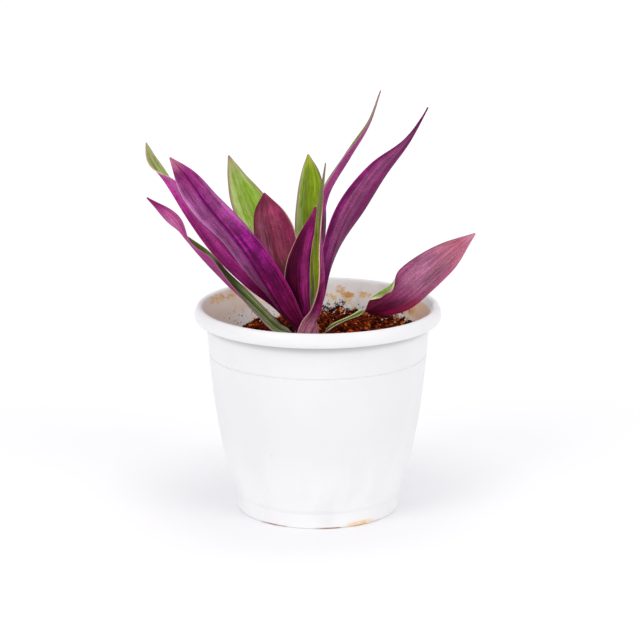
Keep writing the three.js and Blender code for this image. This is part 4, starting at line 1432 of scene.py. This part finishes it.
class PLANT_OT_pot(bpy.types.Operator):
    """Models the pot and drills its drain holes"""
    bl_idname = "plant.pot"
    bl_label = "Make pot"

    def execute(self, context):
        make_pot(context.scene.plant_pot)
        return {"FINISHED"}


class PLANT_OT_leaves(bpy.types.Operator):
    """Models every leaf of the rosette"""
    bl_idname = "plant.leaves"
    bl_label = "Make leaves"

    def execute(self, context):
        for seed, name in enumerate(LEAVES, start=1):
            make_leaf(name, seed, context.scene.plant_leaves)
        return {"FINISHED"}


class PLANT_OT_stem(bpy.types.Operator):
    """Gives the stem its skin"""
    bl_idname = "plant.stem"
    bl_label = "Finish stem"

    def execute(self, context):
        stem = frame["nodes"]["stem"]
        stem.data.materials.clear()
        stem.data.materials.append(stem_skin())
        return {"FINISHED"}


class PLANT_OT_soil(bpy.types.Operator):
    """Models the soil, its loose crumbs and the grains of perlite"""
    bl_idname = "plant.soil"
    bl_label = "Make soil"

    def execute(self, context):
        settings = context.scene.plant_soil
        make_soil(settings)
        make_crumbs(settings)
        make_wall_crumbs(settings)
        make_perlite(settings)
        return {"FINISHED"}


class PLANT_OT_stage(bpy.types.Operator):
    """Sets up the floor, the lamps, the surroundings and the camera"""
    bl_idname = "plant.stage"
    bl_label = "Set stage"

    def execute(self, context):
        make_stage(context.scene.plant_stage)
        return {"FINISHED"}


class PLANT_PT_panel(bpy.types.Panel):
    """Lists the steps that make the plant"""
    bl_idname = "PLANT_PT_panel"
    bl_label = "Potted tradescantia"
    bl_space_type = "VIEW_3D"
    bl_region_type = "UI"
    bl_category = "Plant"

    def draw(self, context):
        for step in ("stage", "pot", "leaves", "stem", "soil"):
            self.layout.operator(f"plant.{step}")


CLASSES = (PotSettings, LeafSettings, SoilSettings, StageSettings, PLANT_OT_pot, PLANT_OT_leaves,
           PLANT_OT_stem, PLANT_OT_soil, PLANT_OT_stage, PLANT_PT_panel)


def register():
    for made in CLASSES:
        bpy.utils.register_class(made)
    bpy.types.Scene.plant_pot = PointerProperty(type=PotSettings)
    bpy.types.Scene.plant_leaves = PointerProperty(type=LeafSettings)
    bpy.types.Scene.plant_soil = PointerProperty(type=SoilSettings)
    bpy.types.Scene.plant_stage = PointerProperty(type=StageSettings)


def unregister():
    del bpy.types.Scene.plant_stage
    del bpy.types.Scene.plant_soil
    del bpy.types.Scene.plant_leaves
    del bpy.types.Scene.plant_pot
    for made in reversed(CLASSES):
        bpy.utils.unregister_class(made)


def main():
    register()
    bpy.ops.plant.stage()
    bpy.ops.plant.pot()
    bpy.ops.plant.leaves()
    bpy.ops.plant.stem()
    bpy.ops.plant.soil()


if __name__ == "__main__":
    main()
